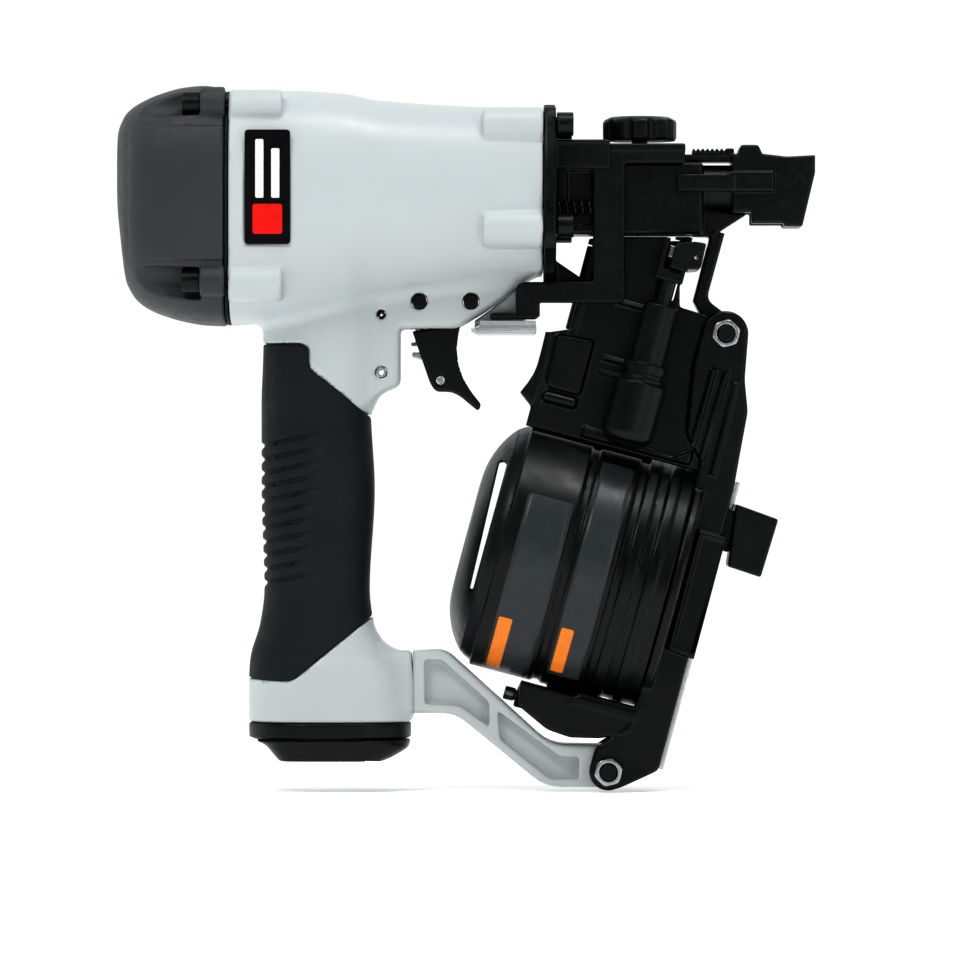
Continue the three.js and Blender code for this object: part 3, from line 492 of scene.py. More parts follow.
def finish(name, tint, rough, bumps, **settings):
    """A finish whose colour and roughness vary a little over noise, with fine bumps laid one on the other.
    tint is (size, first, second), rough is (grain, low, high) and a bump is (grain, height, strength), where
    grain is (size, detail, stretch), or a single size for cells. Sizes and heights are in millimetres."""
    material = bpy.data.materials.new(name)
    material.use_nodes = True
    tree = material.node_tree
    shader = tree.nodes["Principled BSDF"]
    (size, first, second), (grain, low, high) = tint, rough
    middle = [(a + b) / 2 for a, b in zip(first, second)]
    settings.update(Base_Color=(*middle, 1), Roughness=(low + high) / 2)
    for setting, value in settings.items():
        shader.inputs[setting.replace("_", " ")].default_value = value
    place = add(tree, "TexCoord", "Object")
    ramp = tree.nodes.new("ShaderNodeValToRGB")
    for element, position, shade in zip(ramp.color_ramp.elements, (NOISE_LOW, NOISE_HIGH), (first, second)):
        element.position, element.color = position, (*shade, 1)
    tree.links.new(noise(tree, place, size), ramp.inputs["Fac"])
    tree.links.new(ramp.outputs["Color"], shader.inputs["Base Color"])
    tree.links.new(add(
        tree, "MapRange", "Result", Value=noise(tree, place, *grain), From_Min=NOISE_LOW, From_Max=NOISE_HIGH,
        To_Min=low, To_Max=high,
    ), shader.inputs["Roughness"])
    below = {}
    for grain, height, strength in bumps:
        if isinstance(grain, tuple):
            factor = noise(tree, place, *grain)
        else:
            factor = add(tree, "TexVoronoi", "Distance", Vector=place, Scale=1 / (grain * MM))
        normal = add(tree, "Bump", "Normal", Strength=strength, Distance=height * MM, Height=factor, **below)
        below = {"Normal": normal}
    tree.links.new(normal, shader.inputs["Normal"])
    return material


def print_film(name, colour, darker):
    """A printed film label: smooth, faintly mottled ink."""
    return finish(
        name, (4, darker, colour), ((3,), 0.26, 0.36), [((0.7, 2), 0.008, 0.3)], Specular_IOR_Level=0.25,
    )


# Pale satin powder coat on a casting: faint orange peel and a fine grain.
GREY_PAINT = finish(
    "grey_powder_coat", (60, (0.465, 0.50, 0.505), (0.495, 0.532, 0.537)),
    ((9,), 0.33, 0.43), [((1.6, 2), 0.05, 0.35), ((0.35, 2), 0.02, 0.4)], Specular_IOR_Level=0.35,
)
# Dark moulded plastic with a spark-eroded texture.
CAP_PLASTIC = finish(
    "dark_textured_plastic", (25, (0.036, 0.042, 0.043), (0.045, 0.051, 0.052)),
    ((4,), 0.46, 0.6), [((0.45, 4), 0.09, 0.6)], Specular_IOR_Level=0.4,
)
# Black overmoulded rubber: matt, with a fine leathery grain and a slight sheen.
GRIP_RUBBER = finish(
    "black_rubber", (30, (0.010, 0.014, 0.015), (0.015, 0.020, 0.021)),
    ((5,), 0.55, 0.7), [(0.55, 0.06, 0.5), ((0.3, 2), 0.03, 0.4)], Sheen_Weight=0.03, Sheen_Roughness=0.4,
    Specular_IOR_Level=0.25,
)
# Satin black glass-filled plastic with faint flow marks.
BLACK_PLASTIC = finish(
    "black_plastic", (20, (0.0025, 0.003, 0.0035), (0.004, 0.005, 0.005)),
    ((7, 3, (1, 1, 0.35)), 0.3, 0.44), [((0.6, 3), 0.03, 0.4)], Specular_IOR_Level=0.3,
)
# Blackened steel: semi-gloss, with scuffs that catch the light.
BLACK_STEEL = finish(
    "black_steel", (12, (0.0025, 0.003, 0.0035), (0.005, 0.006, 0.006)),
    ((2.5, 5), 0.27, 0.45), [((0.8, 3), 0.03, 0.35)], Specular_IOR_Level=0.3,
)
# Black paint over die-cast metal: low orange peel over the casting's grain.
BLACK_CASTING = finish(
    "black_cast_paint", (18, (0.0025, 0.003, 0.0035), (0.004, 0.005, 0.005)),
    ((6, 4), 0.28, 0.42), [((2.2, 2), 0.06, 0.4), ((0.5, 3), 0.03, 0.4)], Specular_IOR_Level=0.3,
)
# Zinc-plated steel with fine turning marks.
BARE_STEEL = finish(
    "zinc_plated_steel", (5, (0.34, 0.36, 0.37), (0.46, 0.48, 0.48)),
    ((1.2, 4, (1, 8, 1)), 0.2, 0.4), [((0.25, 3, (1, 6, 1)), 0.012, 0.4)], Metallic=1.0,
)
# Satin machined aluminium.
ALUMINIUM = finish(
    "satin_aluminium", (8, (0.44, 0.46, 0.47), (0.56, 0.58, 0.59)),
    ((1.5, 4, (6, 1, 1)), 0.3, 0.5), [((0.3, 3, (8, 1, 1)), 0.015, 0.4)], Metallic=1.0,
)
# Amber urethane, slightly clouded.
URETHANE = finish(
    "amber_urethane", (6, (0.28, 0.12, 0.03), (0.44, 0.23, 0.08)),
    ((3,), 0.36, 0.5), [((1.0, 2), 0.03, 0.3)],
)
LABEL_BLACK = print_film("label_black", (0.004, 0.004, 0.005), (0.003, 0.003, 0.004))
LABEL_RED = print_film("label_red", (0.78, 0.018, 0.012), (0.66, 0.012, 0.009))
LABEL_GREY = print_film("label_grey", (0.045, 0.052, 0.056), (0.038, 0.044, 0.048))
LABEL_WHITE = print_film("label_white", (0.80, 0.80, 0.80), (0.74, 0.74, 0.74))
LABEL_ORANGE = print_film("label_orange", (0.83, 0.25, 0.03), (0.75, 0.21, 0.025))

# ---------------------------------------------------------------- housing, handle and grip

BARREL_REAR = -118.8
SIDE = 42                       # half width of the rear cap
GRIP_THICK = 2.5
BASE_BOTTOM = -203.5
VALVE_X = -47.1
TRIGGER_X, TRIGGER_Z = -27.4, -43.3
PIN_X, HIGH_PIN_Z, LOW_PIN_Z = -61.6, -48.3, -70.3

# Sections along X: place, bottom, top, half width and squareness.
BARREL = [
    (BARREL_REAR, -52.4, 36.9, 41.2, 3.2),
    (-96, -50.5, 37.2, 40.6, 3.0),
    (-75, -45.5, 36, 38.8, 2.8),
    (-64, -42, 33.8, 37, 2.7),
    (-31.5, -37.5, 31.5, 35, 2.6),
    (0, -33.5, 30.4, 33.5, 2.5),
]
CAP = [
    (-161.9, -13, 23.2, 20, 2.6),
    (-158.5, -37, 28.9, 30.5, 2.8),
    (-153.1, -44.5, 32.7, 36.5, 3.0),
    (-146, -48.2, 35.8, 40, 3.1),
    (-136, -51.1, 38.4, 41.7, 3.2),
    (-129, -52.2, 39, SIDE, 3.2),
    (-120.6, -52.6, 37.6, SIDE, 3.2),
]
# Sections along Z: place, rear, front, half width and squareness.
HANDLE = [
    (-36, -108, -62, 19, 2.5),
    (-60, -106.8, -63, 18.6, 2.5),
    (-82.5, -107.5, -65.7, 18.5, 2.5),
    (-115, -107.5, -64.2, 18.5, 2.5),
    (-153, -106.4, -66.1, 18, 2.5),
    (-166, -108, -64.5, 18.5, 2.5),
    (-178, -111.5, -57, 21, 2.5),
    (-183, -112.1, -52, 22.5, 2.5),
    (-190, -112.3, -50.4, 23, 2.5),
    (BASE_BOTTOM, -112.3, -50.2, 23.5, 2.5),
]
GRIP_EDGE = [
    (-125, -59.3), (-91.2, -59.3, 2), (-88.9, -61.2, 1), (-88.9, -68.8, 2.5), (-55, -95.4), (-55, -155.3),
    (-95.4, -188.1, 3), (-125, -186.2),
]
# Screws along X: name, y and z.
TRUNK_BOLTS = [
    ("cap_screw_1", -30, 31), ("cap_screw_2", 30, 31), ("cap_screw_3", 34, -36), ("cap_screw_4", -34, -36),
]
FLANGE_BOLTS = [
    ("nose_screw_1", -24, 23.5), ("nose_screw_2", 24, 23.5), ("nose_screw_3", 29, -15.2),
    ("nose_screw_4", -29, -15.2),
]
SCREW_HOLE = 2.9                # radius of the holes for those screws
PIN_HOLE = 3.1                  # of the holes for the trigger's and the valve's pins
BOLT_HOLE = 3.4                 # of the holes for the magazine's bolts


def screw_holes(bolts, low, high):
    return [rod("x", SCREW_HOLE, low, high, y, z) for _, y, z in bolts]


def make_housing():
    """The casting: barrel, handle and trigger bracket in one, and the two roll pins in its side."""
    web = [
        (-92, -34), (-2, -24), (-6.8, -35.3, 3), (-20, -46, 3), (-32.7, -53.6, 2), (-54.3, -53.6, 1.5),
        (-54.3, -75.6, 3), (-60.5, -77.6, 3), (-65.7, -82.5), (-72, -81.5), (-92, -62),
    ]
    bosses = [
        rod("x", 6.2 if z > 0 else 7.2, BARREL_REAR, -98.6, y * 1.02, z - 1, 1.6) for _, y, z in TRUNK_BOLTS
    ]
    bosses += [rod("x", 7.4, -23, 0, y * 1.03, z - 1, 1.6) for _, y, z in FLANGE_BOLTS]
    base = cut(0.5, loft("z", HANDLE), plate(GRIP_EDGE, -30, 30))
    core = loft("z", HANDLE, -GRIP_THICK)
    barrel = join(1.1, loft("x", BARREL, r=0.8), *bosses)
    handle = join(1.5, core, base)
    body = join(
        5,
        join(4, barrel, handle),
        plate(web, -12.5, 12.5, 2.5),
        box(-62, -49.9, -11, 11, -200.3, -176.6, 2),
    )
    pivots = [
        (TRIGGER_X, TRIGGER_Z, PIN_HOLE), (VALVE_X, TRIGGER_Z, PIN_HOLE), (PIN_X, HIGH_PIN_Z, 1.8),
        (PIN_X, LOW_PIN_Z, 2.3),
    ]
    holes = [rod("y", radius, -20, 20, x, z) for x, z, radius in pivots]
    holes += screw_holes(TRUNK_BOLTS, BARREL_REAR - 1, -100) + screw_holes(FLANGE_BOLTS, -20, 1)
    form("main_housing", cut(
        0.6, body,
        rod("x", 29, BARREL_REAR - 1, -4),
        rod("x", 20, -8, 1),
        rod("z", 11, BASE_BOTTOM - 1, -15, -86),
        rod("z", 15, BASE_BOTTOM - 1, -196, -80),
        box(-53.6, -15.5, -6.4, 6.4, -60, -47.6),
        box(-40.4, -15.5, -6.4, 6.4, -60, -37.2),
        rod("z", 6.5, -54, -34.5, VALVE_X),
        rod("z", 2.5, -38, -20, VALVE_X),
        box(-113.2, -94.8, -50, -39.7, -23.2, 21.2, 1.2),
        *holes,
    ), 1.3, GREY_PAINT)
    for node, z, outer, inner, material in (
        ("upper_roll_pin", HIGH_PIN_Z, 1.5, 0.7, BLACK_STEEL),
        ("lower_roll_pin", LOW_PIN_Z, 2, 1.1, BARE_STEEL),
    ):
        pin = rod("y", outer, -12.3, 12.3, PIN_X, z, 0.3)
        form(node, cut(0.15, pin, rod("y", inner, -14, 14, PIN_X, z, 0.1)), 0.3, material)


def make_label():
    """A black film in the housing's shallow pocket, with a plain red square and two plain white bars."""
    panel = [(-112.6, -22.6, 1.5), (-95.4, -22.6, 1.5), (-95.4, 20.6, 1.5), (-112.6, 20.6, 1.5)]
    form("side_label", plate(panel, -41, -40, 0.25), 0.5, LABEL_BLACK)
    square = [(-109.6, -18.8, 1), (-98.4, -18.8, 1), (-98.4, -7.4, 1), (-109.6, -7.4, 1)]
    shapes = [("label_square", square, LABEL_RED, (-110, -98), (-19, -7))]
    for name, x, top in (("label_bar_1", -107, 17), ("label_bar_2", -101, 13.6)):
        bar = [(x - 1.6, -5.2, 0.6), (x + 1.6, -5.2, 0.6), (x + 1.6, top, 0.6), (x - 1.6, top, 0.6)]
        shapes.append((name, bar, LABEL_WHITE, (x - 2, x + 2), (-5.4, top + 0.2)))
    for name, outline, material, (x0, x1), (z0, z1) in shapes:
        limits = (x0, -41.2, z0), (x1, -40.4, z1)
        form("side_label", plate(outline, -41.12, -40.6, 0.1), 0.3, material, name=name, limits=limits)


RIB_PITCH = 5.25
RIB_COUNT = 11
RIB_TOP = -98.4
RIB_RISE = 0.2                  # how much the grooves climb towards the front
RIB_HALF = 1.7                  # half width of a groove
RIB_DEPTH = 1.3


def ribbed(field):
    """Grooves across the back of the grip that climb and fade towards the front."""
    def grooved(x, y, z):
        turn = (RIB_TOP - z + RIB_RISE * (x + 107)) / RIB_PITCH
        nearest = np.clip(np.round(turn), 0, RIB_COUNT - 1)
        off = np.clip(np.abs(turn - nearest) * RIB_PITCH / RIB_HALF, 0, 1)
        fade = np.clip((-79 - 0.3 * nearest - x) / 12, 0, 1)
        return field(x, y, z) + RIB_DEPTH * fade * (0.5 + 0.5 * np.cos(pi * off))
    return grooved


def make_grip():
    """The rubber sleeve: it fills the step in the casting, a hair's breadth short of its edge."""
    edge = plate(GRIP_EDGE, -30, 30)
    sleeve = cut(0.4, ribbed(loft("z", HANDLE)), loft("z", HANDLE, 0.3 - GRIP_THICK))
    seam = 0.32
    field = both(0.7, sleeve, lambda x, y, z: edge(x, y, z) + seam)
    form("grip_sleeve", field, 0.85, GRIP_RUBBER)


def make_handle_cap():
    """The cap under the handle, with its screws and the threaded air inlet."""
    sections = [
        (BASE_BOTTOM - 0.3, -112.3, -50.2, 23.5, 2.5), (-209, -112.2, -50.3, 23.4, 2.5),
        (-212.5, -106, -51, 21.8, 4), (-216.2, -102.5, -56, 20, 5), (-218.5, -100.5, -61, 18.5, 6),
    ]
    screws = [(-101, 0), (-66, 14.5), (-66, -14.5)]
    band = loft("z", [(-210.4, -113, -49.4, 24, 2.5), (-209.5, -113, -49.4, 24, 2.5)], r=0.2)
    shoulder = loft("z", HANDLE, -0.7)
    form("handle_end_cap", cut(
        0.4, loft("z", sections, r=0.8),
        cut(0.1, band, lambda x, y, z: shoulder(x, y, np.maximum(z, BASE_BOTTOM))),
        rod("z", 11.4, -222, -203, -82),
        *[rod("z", 3.4, -222, -207.5, x, y) for x, y in screws],
        *[rod("z", 1.8, -222, -203, x, y) for x, y in screws],
    ), 0.8, BLACK_PLASTIC)
    bush = [(-218.8, 10.8, 0.3), (-218.8, 7.4, 0.3), (-218, 6.95), (-199, 6.95, 0.3), (-199, 11, 0.3)]
    form("air_inlet", threaded(turned("z", bush, -82), -82, 0, 6.95, 1.0, -216), 0.5, BARE_STEEL)
    for i, (x, y) in enumerate(screws):
        form(f"end_cap_screw_{i + 1}", socket_screw("z", -1, -207.8, 3, 3, 1.5, 4.1, x, y), 0.3, BLACK_STEEL)


def threaded(field, p, q, radius, pitch, start):
    """Thread grooves inside an upright bore, above start."""
    def grooved(x, y, z):
        angle = np.arctan2(y - q, x - p) / (2 * pi)
        away = np.sqrt((x - p) ** 2 + (y - q) ** 2)
        turn = ((z - start) / pitch - angle) % 1
        depth = 0.45 * (0.5 - 0.5 * np.cos(2 * pi * turn)) * np.clip((z - start) / 1.5, 0, 1)
        return field(x, y, z) + depth * (away < radius + 1.2)
    return grooved


def socket_screw(axis, way, seat, head_r, head_length, shank_r, shank_length, p, q):
    """A socket-head screw: its head starts at the seat and points along the given way."""
    def reach(a, b):
        return sorted((seat + way * a, seat + way * b))
    head = rod(axis, head_r, *reach(0, head_length), p, q, 0.5)
    shank = rod(axis, shank_r, *reach(-shank_length, 0.5), p, q, 0.4)
    socket = hexagon(axis, head_r * 0.95, *reach(head_length * 0.45, head_length + 1), p, q, 0.1)
    return cut(0.2, join(0.2, head, shank), socket)


def make_magazine_arm():
    """The cast arm that ties the handle's base to the lower end of the magazine."""
    outline = [
        (-49.6, -176.7), (-37.2, -175.9, 4), (2.7, -212, 6), (24.3, -212.3, 2), (31.5, -216, 4),
        (31.5, -228.6, 4), (0.8, -228.3, 6), (-33.4, -200.3, 5), (-49.6, -200.3),
    ]
    rear = [
        (-45, -180, 1), (-38.6, -180, 1.5), (-20.6, -196, 1.5), (-20.6, -205.1, 1), (-31.6, -197.3, 1.5),
        (-45, -196.8, 1.5),
    ]
    front = [
        (-17.1, -199.5, 1), (6.5, -217, 2), (13.7, -217, 1), (13.7, -225.3, 1), (3, -225.3, 2),
        (-16.3, -210.1, 1.5),
    ]
    pockets = [plate(o, *side, 1.5) for o in (rear, front) for side in ((-16, -6), (6, 16))]
    x, z = tool_point(40.4, -219.4)
    arm = cut(1.0, plate(outline, -11, 11, 1.6), *pockets, rod("y", BOLT_HOLE, -14, 14, x, z))
    form("magazine_arm", arm, 0.8, GREY_PAINT)


# ---------------------------------------------------------------- rear cap and the drive

def make_rear_cap():
    """The cap over the cylinder, its wide flat panel standing a little proud, with its gasket and screws."""
    pockets = [rod("x", 6.6, -175, -129.2, y * 1.03, z * 1.03, 1) for _, y, z in TRUNK_BOLTS]
    holes = screw_holes(TRUNK_BOLTS, -135, -119)
    narrow = [(x, bottom, top, half - 1.2, power) for x, bottom, top, half, power in CAP]
    panel = both(0.5, loft("x", CAP, r=1.5), box(-156.5, -119.9, -60, 60, -28.4, 22.2, 1.5))
    bosses = [rod("x", 6.2, -129.6, -120.3, y * 1.05, z, 0.8) for _, y, z in TRUNK_BOLTS]
    shell = cut(0.6, join(0.3, loft("x", narrow, r=1.5), panel), rod("x", 30, -150, -119))
    form("rear_cap", cut(0.3, join(0.5, cut(1, shell, *pockets), *bosses), *holes), 1.0, CAP_PLASTIC)
    rim = [(-120.3, -52.2, 36.9, 41, 3.2), (-119.1, -52.2, 36.9, 41, 3.2)]
    form("cap_gasket", cut(
        0.2, loft("x", rim, r=0.3), rod("x", 29.5, -122, -117), *screw_holes(TRUNK_BOLTS, -122, -117),
    ), 0.95, GRIP_RUBBER)
    for node, y, z in TRUNK_BOLTS:
        form(node, socket_screw("x", -1, -129.5, 4.6, 7, 2.5, 27, y, z), 0.4, BLACK_STEEL)


def make_drive():
    """The cylinder, piston and driver blade, their bumper, and the main valve behind them."""
    form("cylinder_sleeve", turned("x", [
        (-112, 25, 0.6), (-62, 25), (-60, 28.6, 0.4), (-55, 28.6, 0.4), (-53, 25), (-8, 25, 0.6),
        (-8, 22.6, 0.4), (-112, 22.6, 0.4),
    ]), 1.7, ALUMINIUM)
    form("head_valve", turned("x", [
        (-112.4, 27.5, 0.8), (-112.4, 13, 0.8), (-116, 11), (-124, 11, 0.4), (-124, 18, 0.8), (-119, 20, 0.8),
        (-119, 27.5, 0.8),
    ]), 0.8, BLACK_PLASTIC)
    spring("head_valve_spring", "head_valve_open", 4, "x", 14.6, 1.1, -148.6, -124.4, 5, BARE_STEEL)
    form("piston", cut(0.3, turned("x", [
        (-104, 17, 0.5), (-102, 22.2, 0.5), (-99.9, 22.2, 0.3), (-99.9, 20), (-97.1, 20), (-97.1, 22.2, 0.3),
        (-93, 22.2, 0.5), (-91, 9, 0.5), (-91, 0), (-99, 0), (-100, 9, 0.5), (-104, 12, 0.5),
    ]), rod("x", 3.5, -97, -88)), 0.7, ALUMINIUM)
    form("piston_ring", turned("x", [
        (-99.5, 20.4, 0.3), (-97.5, 20.4, 0.3), (-97.5, 22.35, 0.5), (-99.5, 22.35, 0.5),
    ]), 0.45, GRIP_RUBBER)
    form("driver_blade", rod("x", 3.2, -96.5, 14, 0, 0, 0.6), 0.5, BARE_STEEL)
    form("drive_bumper", turned("x", [
        (-27, 12, 1.5), (-20, 20.5, 2), (-9, 22.2), (-8.6, 22.2, 0.3), (-8.6, 4.6, 0.5), (-27, 4.6, 1),
    ]), 0.8, URETHANE)


# ---------------------------------------------------------------- nose and contact foot

NOSE_HALF = 13.5
LUG_IN = 11.4
LUG_OUT = 15.4
PIVOT_U, PIVOT_HIGH, PIVOT_LOW = 40.4, -46.9, -219.4
UPPER_PIVOT = tool_point(PIVOT_U, PIVOT_HIGH)


def make_nose():
    """The cast nose on its flange, with its screws."""
    flange = [
        (-26, 31, 5), (-6.5, 29, 1), (-6, 31.9, 1), (6, 31.9, 1), (6.5, 29, 1), (26, 31, 5), (33, 12, 6),
        (36.5, -8, 5), (36.5, -23, 5), (14, -33.5, 3), (10, -39.1, 2), (-10, -39.1, 2), (-14, -33.5, 3),
        (-36.5, -23, 5), (-36.5, -8, 5), (-33, 12, 6),
    ]
    brace = [(4, -27), (14.8, -34.4), (13.5, -39.6, 1), (9, -38.5), (4, -36.5)]
    rib = [(58, -8), (78, -9.9, 1), (64.4, -18.6), (50, -18)]
    strut = [(64.2, -17), (69.6, -17), (62.6, -42.5, 3), (69.9, -48), (66, -60), (57.4, -43)]
    slot = [(20, 0), (61.4, 0), (56.8, -17.2), (56.8, -30), (21.8, -30), (21.8, -17.2)]
    body = join(
        0.8,
        prism("x", flange, 0.3, 4.9, 0.8),
        box(4.8, 61, -NOSE_HALF, NOSE_HALF, -17.9, 9.5, 1.4),
        rod("x", 9, 60, 81, 0, 0, 0.8),
        box(4.8, 25.4, -19.9, 15, 16.8, 17.9, 0.5),
        box(4.8, 25.4, -19.9, -18.8, 7, 17.5, 0.5),
        plate(brace, -7, 3),
        plate(rib, -5.9, 5.9),
        plate(strut, -5.9, 5.9, 1.2),
        rod("y", 7, -LUG_IN + 0.3, LUG_IN - 0.3, *UPPER_PIVOT, 0.8),
    )
    form("nose_body", cut(
        0.5, body,
        box(9, 19, -16, -12.7, -14.5, 6.5, 1),
        rod("x", 4, -1, 92),
        plate(slot, -6, 6),
        rod("y", BOLT_HOLE, -14, 14, *UPPER_PIVOT),
        *screw_holes(FLANGE_BOLTS, -1, 7),
    ), 0.76, BLACK_STEEL)
    for node, y, z in FLANGE_BOLTS:
        form(node, socket_screw("x", 1, 5.2, 4.5, 6.3, 2.5, 22, y, z), 0.4, BLACK_STEEL)


KNOB_X = 37.1
KNOB_R = 14.2
ARM_OUT, ARM_IN = -18.4, -14.6


def make_contact_foot():
    """The contact arm and its spring, the depth wheel and the foot."""
    arm = [
        (-20.1, -47.8, 0.3), (-10.4, -47.8, 0.5), (-10.4, -36.1, 4), (19, -36.1, 1), (19, 9), (14.6, 9),
        (14.6, 16.4, 0.8), (54, 16.4, 0.8), (54, 9, 0.8), (31, 9, 1), (31, -44.1, 2), (-1.2, -44.1, 0.5),
        (-1.2, -49), (-2.8, -50.4, 0.5), (-20.1, -50.4, 0.3),
    ]
    shelf = box(14.6, 54, ARM_OUT, 13.4, 13.4, 16.4, 0.6)
    form("contact_arm", cut(
        0.3, join(0.5, plate(arm, ARM_OUT, ARM_IN, 0.7), shelf), rod("z", 3.4, 12, 18, KNOB_X),
    ), 0.6, BLACK_STEEL)
    spring("contact_spring", "contact_trip", 8, "x", 2.6, 0.6, 5.2, 18.7, 5, BLACK_STEEL, -16.9, -8)

    reach = KNOB_R + 0.6
    grooves = [
        rod("z", 1.8, 17, 28, KNOB_X + reach * cos(angle), reach * sin(angle))
        for angle in (2 * pi * i / 10 for i in range(10))
    ]
    ring = [(26.8, 9.6, 0.2), (28, 9.6), (28, 8.2), (26.8, 8.2, 0.2)]
    form("depth_knob", cut(
        0.5,
        join(0.4, turned("z", [
            (18.2, 0), (18.2, KNOB_R - 0.6, 0.5), (19.2, KNOB_R, 0.6), (25.8, KNOB_R, 1),
            (27.4, KNOB_R - 3, 1), (27.4, 0),
        ], KNOB_X), rod("z", 3, 13.4, 19, KNOB_X)),
        turned("z", ring, KNOB_X),
        *grooves,
    ), 0.5, BLACK_PLASTIC)

    profile = [
        (72, 12.9), (74.2, 12.9), (75.4, 16.3, 1), (82, 16.3, 1), (83.6, 12.9), (93, 11.8, 1),
        (TIP, 12.4, 0.4), (TIP, 5.7, 0.4), (98.8, -14.8, 0.6), (92, -14.8, 0.6), (91.5, -13.7),
        (79.4, -13.7, 0.5), (79.4, -9.5, 0.5), (72, -9.5, 0.5),
    ]
    places = [58.4 + i * 1.8 for i in range(7)]
    teeth = [plate([(x - 0.9, 15.6), (x + 0.9, 15.6), (x, 13.9)], -8, 8) for x in places]
    form("contact_foot", cut(
        0.3,
        join(
            0.7,
            plate(profile, -13, 13, 1.0),
            box(40, 73, -7, 7, 10, 12.9),
            box(57.2, 73, -7, 7, 12.5, 15.2),
            box(51, 73, -16.4, -13.9, -1.6, 5, 0.8),
            box(70, 88, -16.4, -12.5, -1.6, 6, 0.8),
        ),
        rod("x", 9.5, 70, 92),
        rod("x", 6, 88, 110),
        box(70, 92, -6.4, 6.4, -20, -5),
        *teeth,
    ), 0.6, BLACK_STEEL)


# ---------------------------------------------------------------- trigger and its valve

LEVER = -39.1, -73.3            # the axis of the lever's pin


def make_trigger():
    """The trigger with its lever, the valve that it lifts, and the guide in front of it."""
    outline = [
        (-49.8, -54.6, 0.5), (-39.6, -53), (-38.4, -50, 1), (-33, -38.4, 4), (-21.8, -38.4, 4),
        (-22.2, -47.6, 4), (-31.6, -52.6, 1), (-32.8, -58.1, 6), (-33, -64.2, 6), (-31.4, -70.3, 6),
        (-28.6, -76.4, 6), (-23.4, -82.5, 1.2), (-24.6, -85.1, 1.2), (-28.6, -81.9, 4), (-32.6, -78.4, 3),
        (-37, -77.4, 3), (-40.8, -77.8, 2), (-43, -74.6, 2),
    ]
    channel = [(-54, -49), (-38.9, -49), (-38.9, -57), (-35.4, -57), (-35.4, -80), (-54, -80)]
    lever_hole = rod("y", 1.6, -7, 7, *LEVER)
    form("trigger", cut(
        0.5, plate(outline, -5.8, 5.8, 1.1), plate(channel, -3.6, 3.6),
        rod("y", PIN_HOLE, -7, 7, TRIGGER_X, TRIGGER_Z), lever_hole,
    ), 0.5, BLACK_PLASTIC)
    form("trigger_pin", rod("y", 2.8, -12.9, 12.9, TRIGGER_X, TRIGGER_Z, 0.5), 0.4, BLACK_STEEL)
    lever = [
        (-41, -75.5, 1), (-37.2, -75.5, 1), (-37.2, -70, 1), (-41.8, -62.6, 0.5), (-49.8, -62.6, 0.5),
        (-49.8, -64.4, 0.5), (-44.6, -66, 0.5),
    ]
    form("trigger_lever", cut(0.2, plate(lever, -2.9, 2.9, 0.4), lever_hole), 0.3, BARE_STEEL)
    form("lever_pin", rod("y", 1.3, -5.8, 5.8, *LEVER, 0.3), 0.3, BARE_STEEL)
    form("valve_body", cut(
        0.3, rod("z", 6.2, -49.4, -35, VALVE_X), rod("y", PIN_HOLE, -8, 8, VALVE_X, TRIGGER_Z),
        rod("z", 2, -56, -46, VALVE_X), rod("z", 2, -41, -33, VALVE_X),
    ), 0.5, ALUMINIUM)
    form("valve_stem", join(
        0.2, rod("z", 1.6, -60.2, -49.4, VALVE_X), rod("z", 3.2, -60.2, -58.8, VALVE_X, 0, 0.4),
    ), 0.3, BARE_STEEL)
    form("valve_pin", rod("y", 2.8, -12.9, 12.9, VALVE_X, TRIGGER_Z, 0.5), 0.4, BLACK_STEEL)
    rib = [(-26, -54), (-26, -50.6), (-20, -46.4), (-7.6, -36.3), (-6.4, -38), (-6.4, -54)]
    side = [(-25.5, -55.5, 0.5), (-2.7, -55.5, 0.5), (-2.7, -50.9, 0.5), (-24, -50.9, 0.5)]
    tray = [(-27.7, -54, 1), (-25.5, -55.5, 1), (-2.7, -55.5, 0.4), (-2.7, -53.1, 0.4), (-26, -53.1, 0.5)]
    form("arm_guide", join(
        0.5, plate(tray, -20.3, 20.3, 0.5), plate(side, -20.3, -18.9, 0.4), plate(side, 18.9, 20.3, 0.4),
        plate(rib, -5, 5),
    ), 0.5, ALUMINIUM)


# ---------------------------------------------------------------- magazine
# The fields here are in u, y and v.

CANISTER_R = 48
CANISTER = CANISTER_Y, CANISTER_V = 9, -146
HINGE = CANISTER_Y, HINGE_V = 9, -201
FEED = 14, -22.4
PAWL = -18.5, -22
DOOR = DOOR_U, DOOR_Y = -16.2, 8.4


def arc(u, v, radius, start, end, steps):
    """Points along a part of a circle."""
    return [(u + radius * cos(t), v + radius * sin(t)) for t in np.linspace(start, end, steps + 1)]


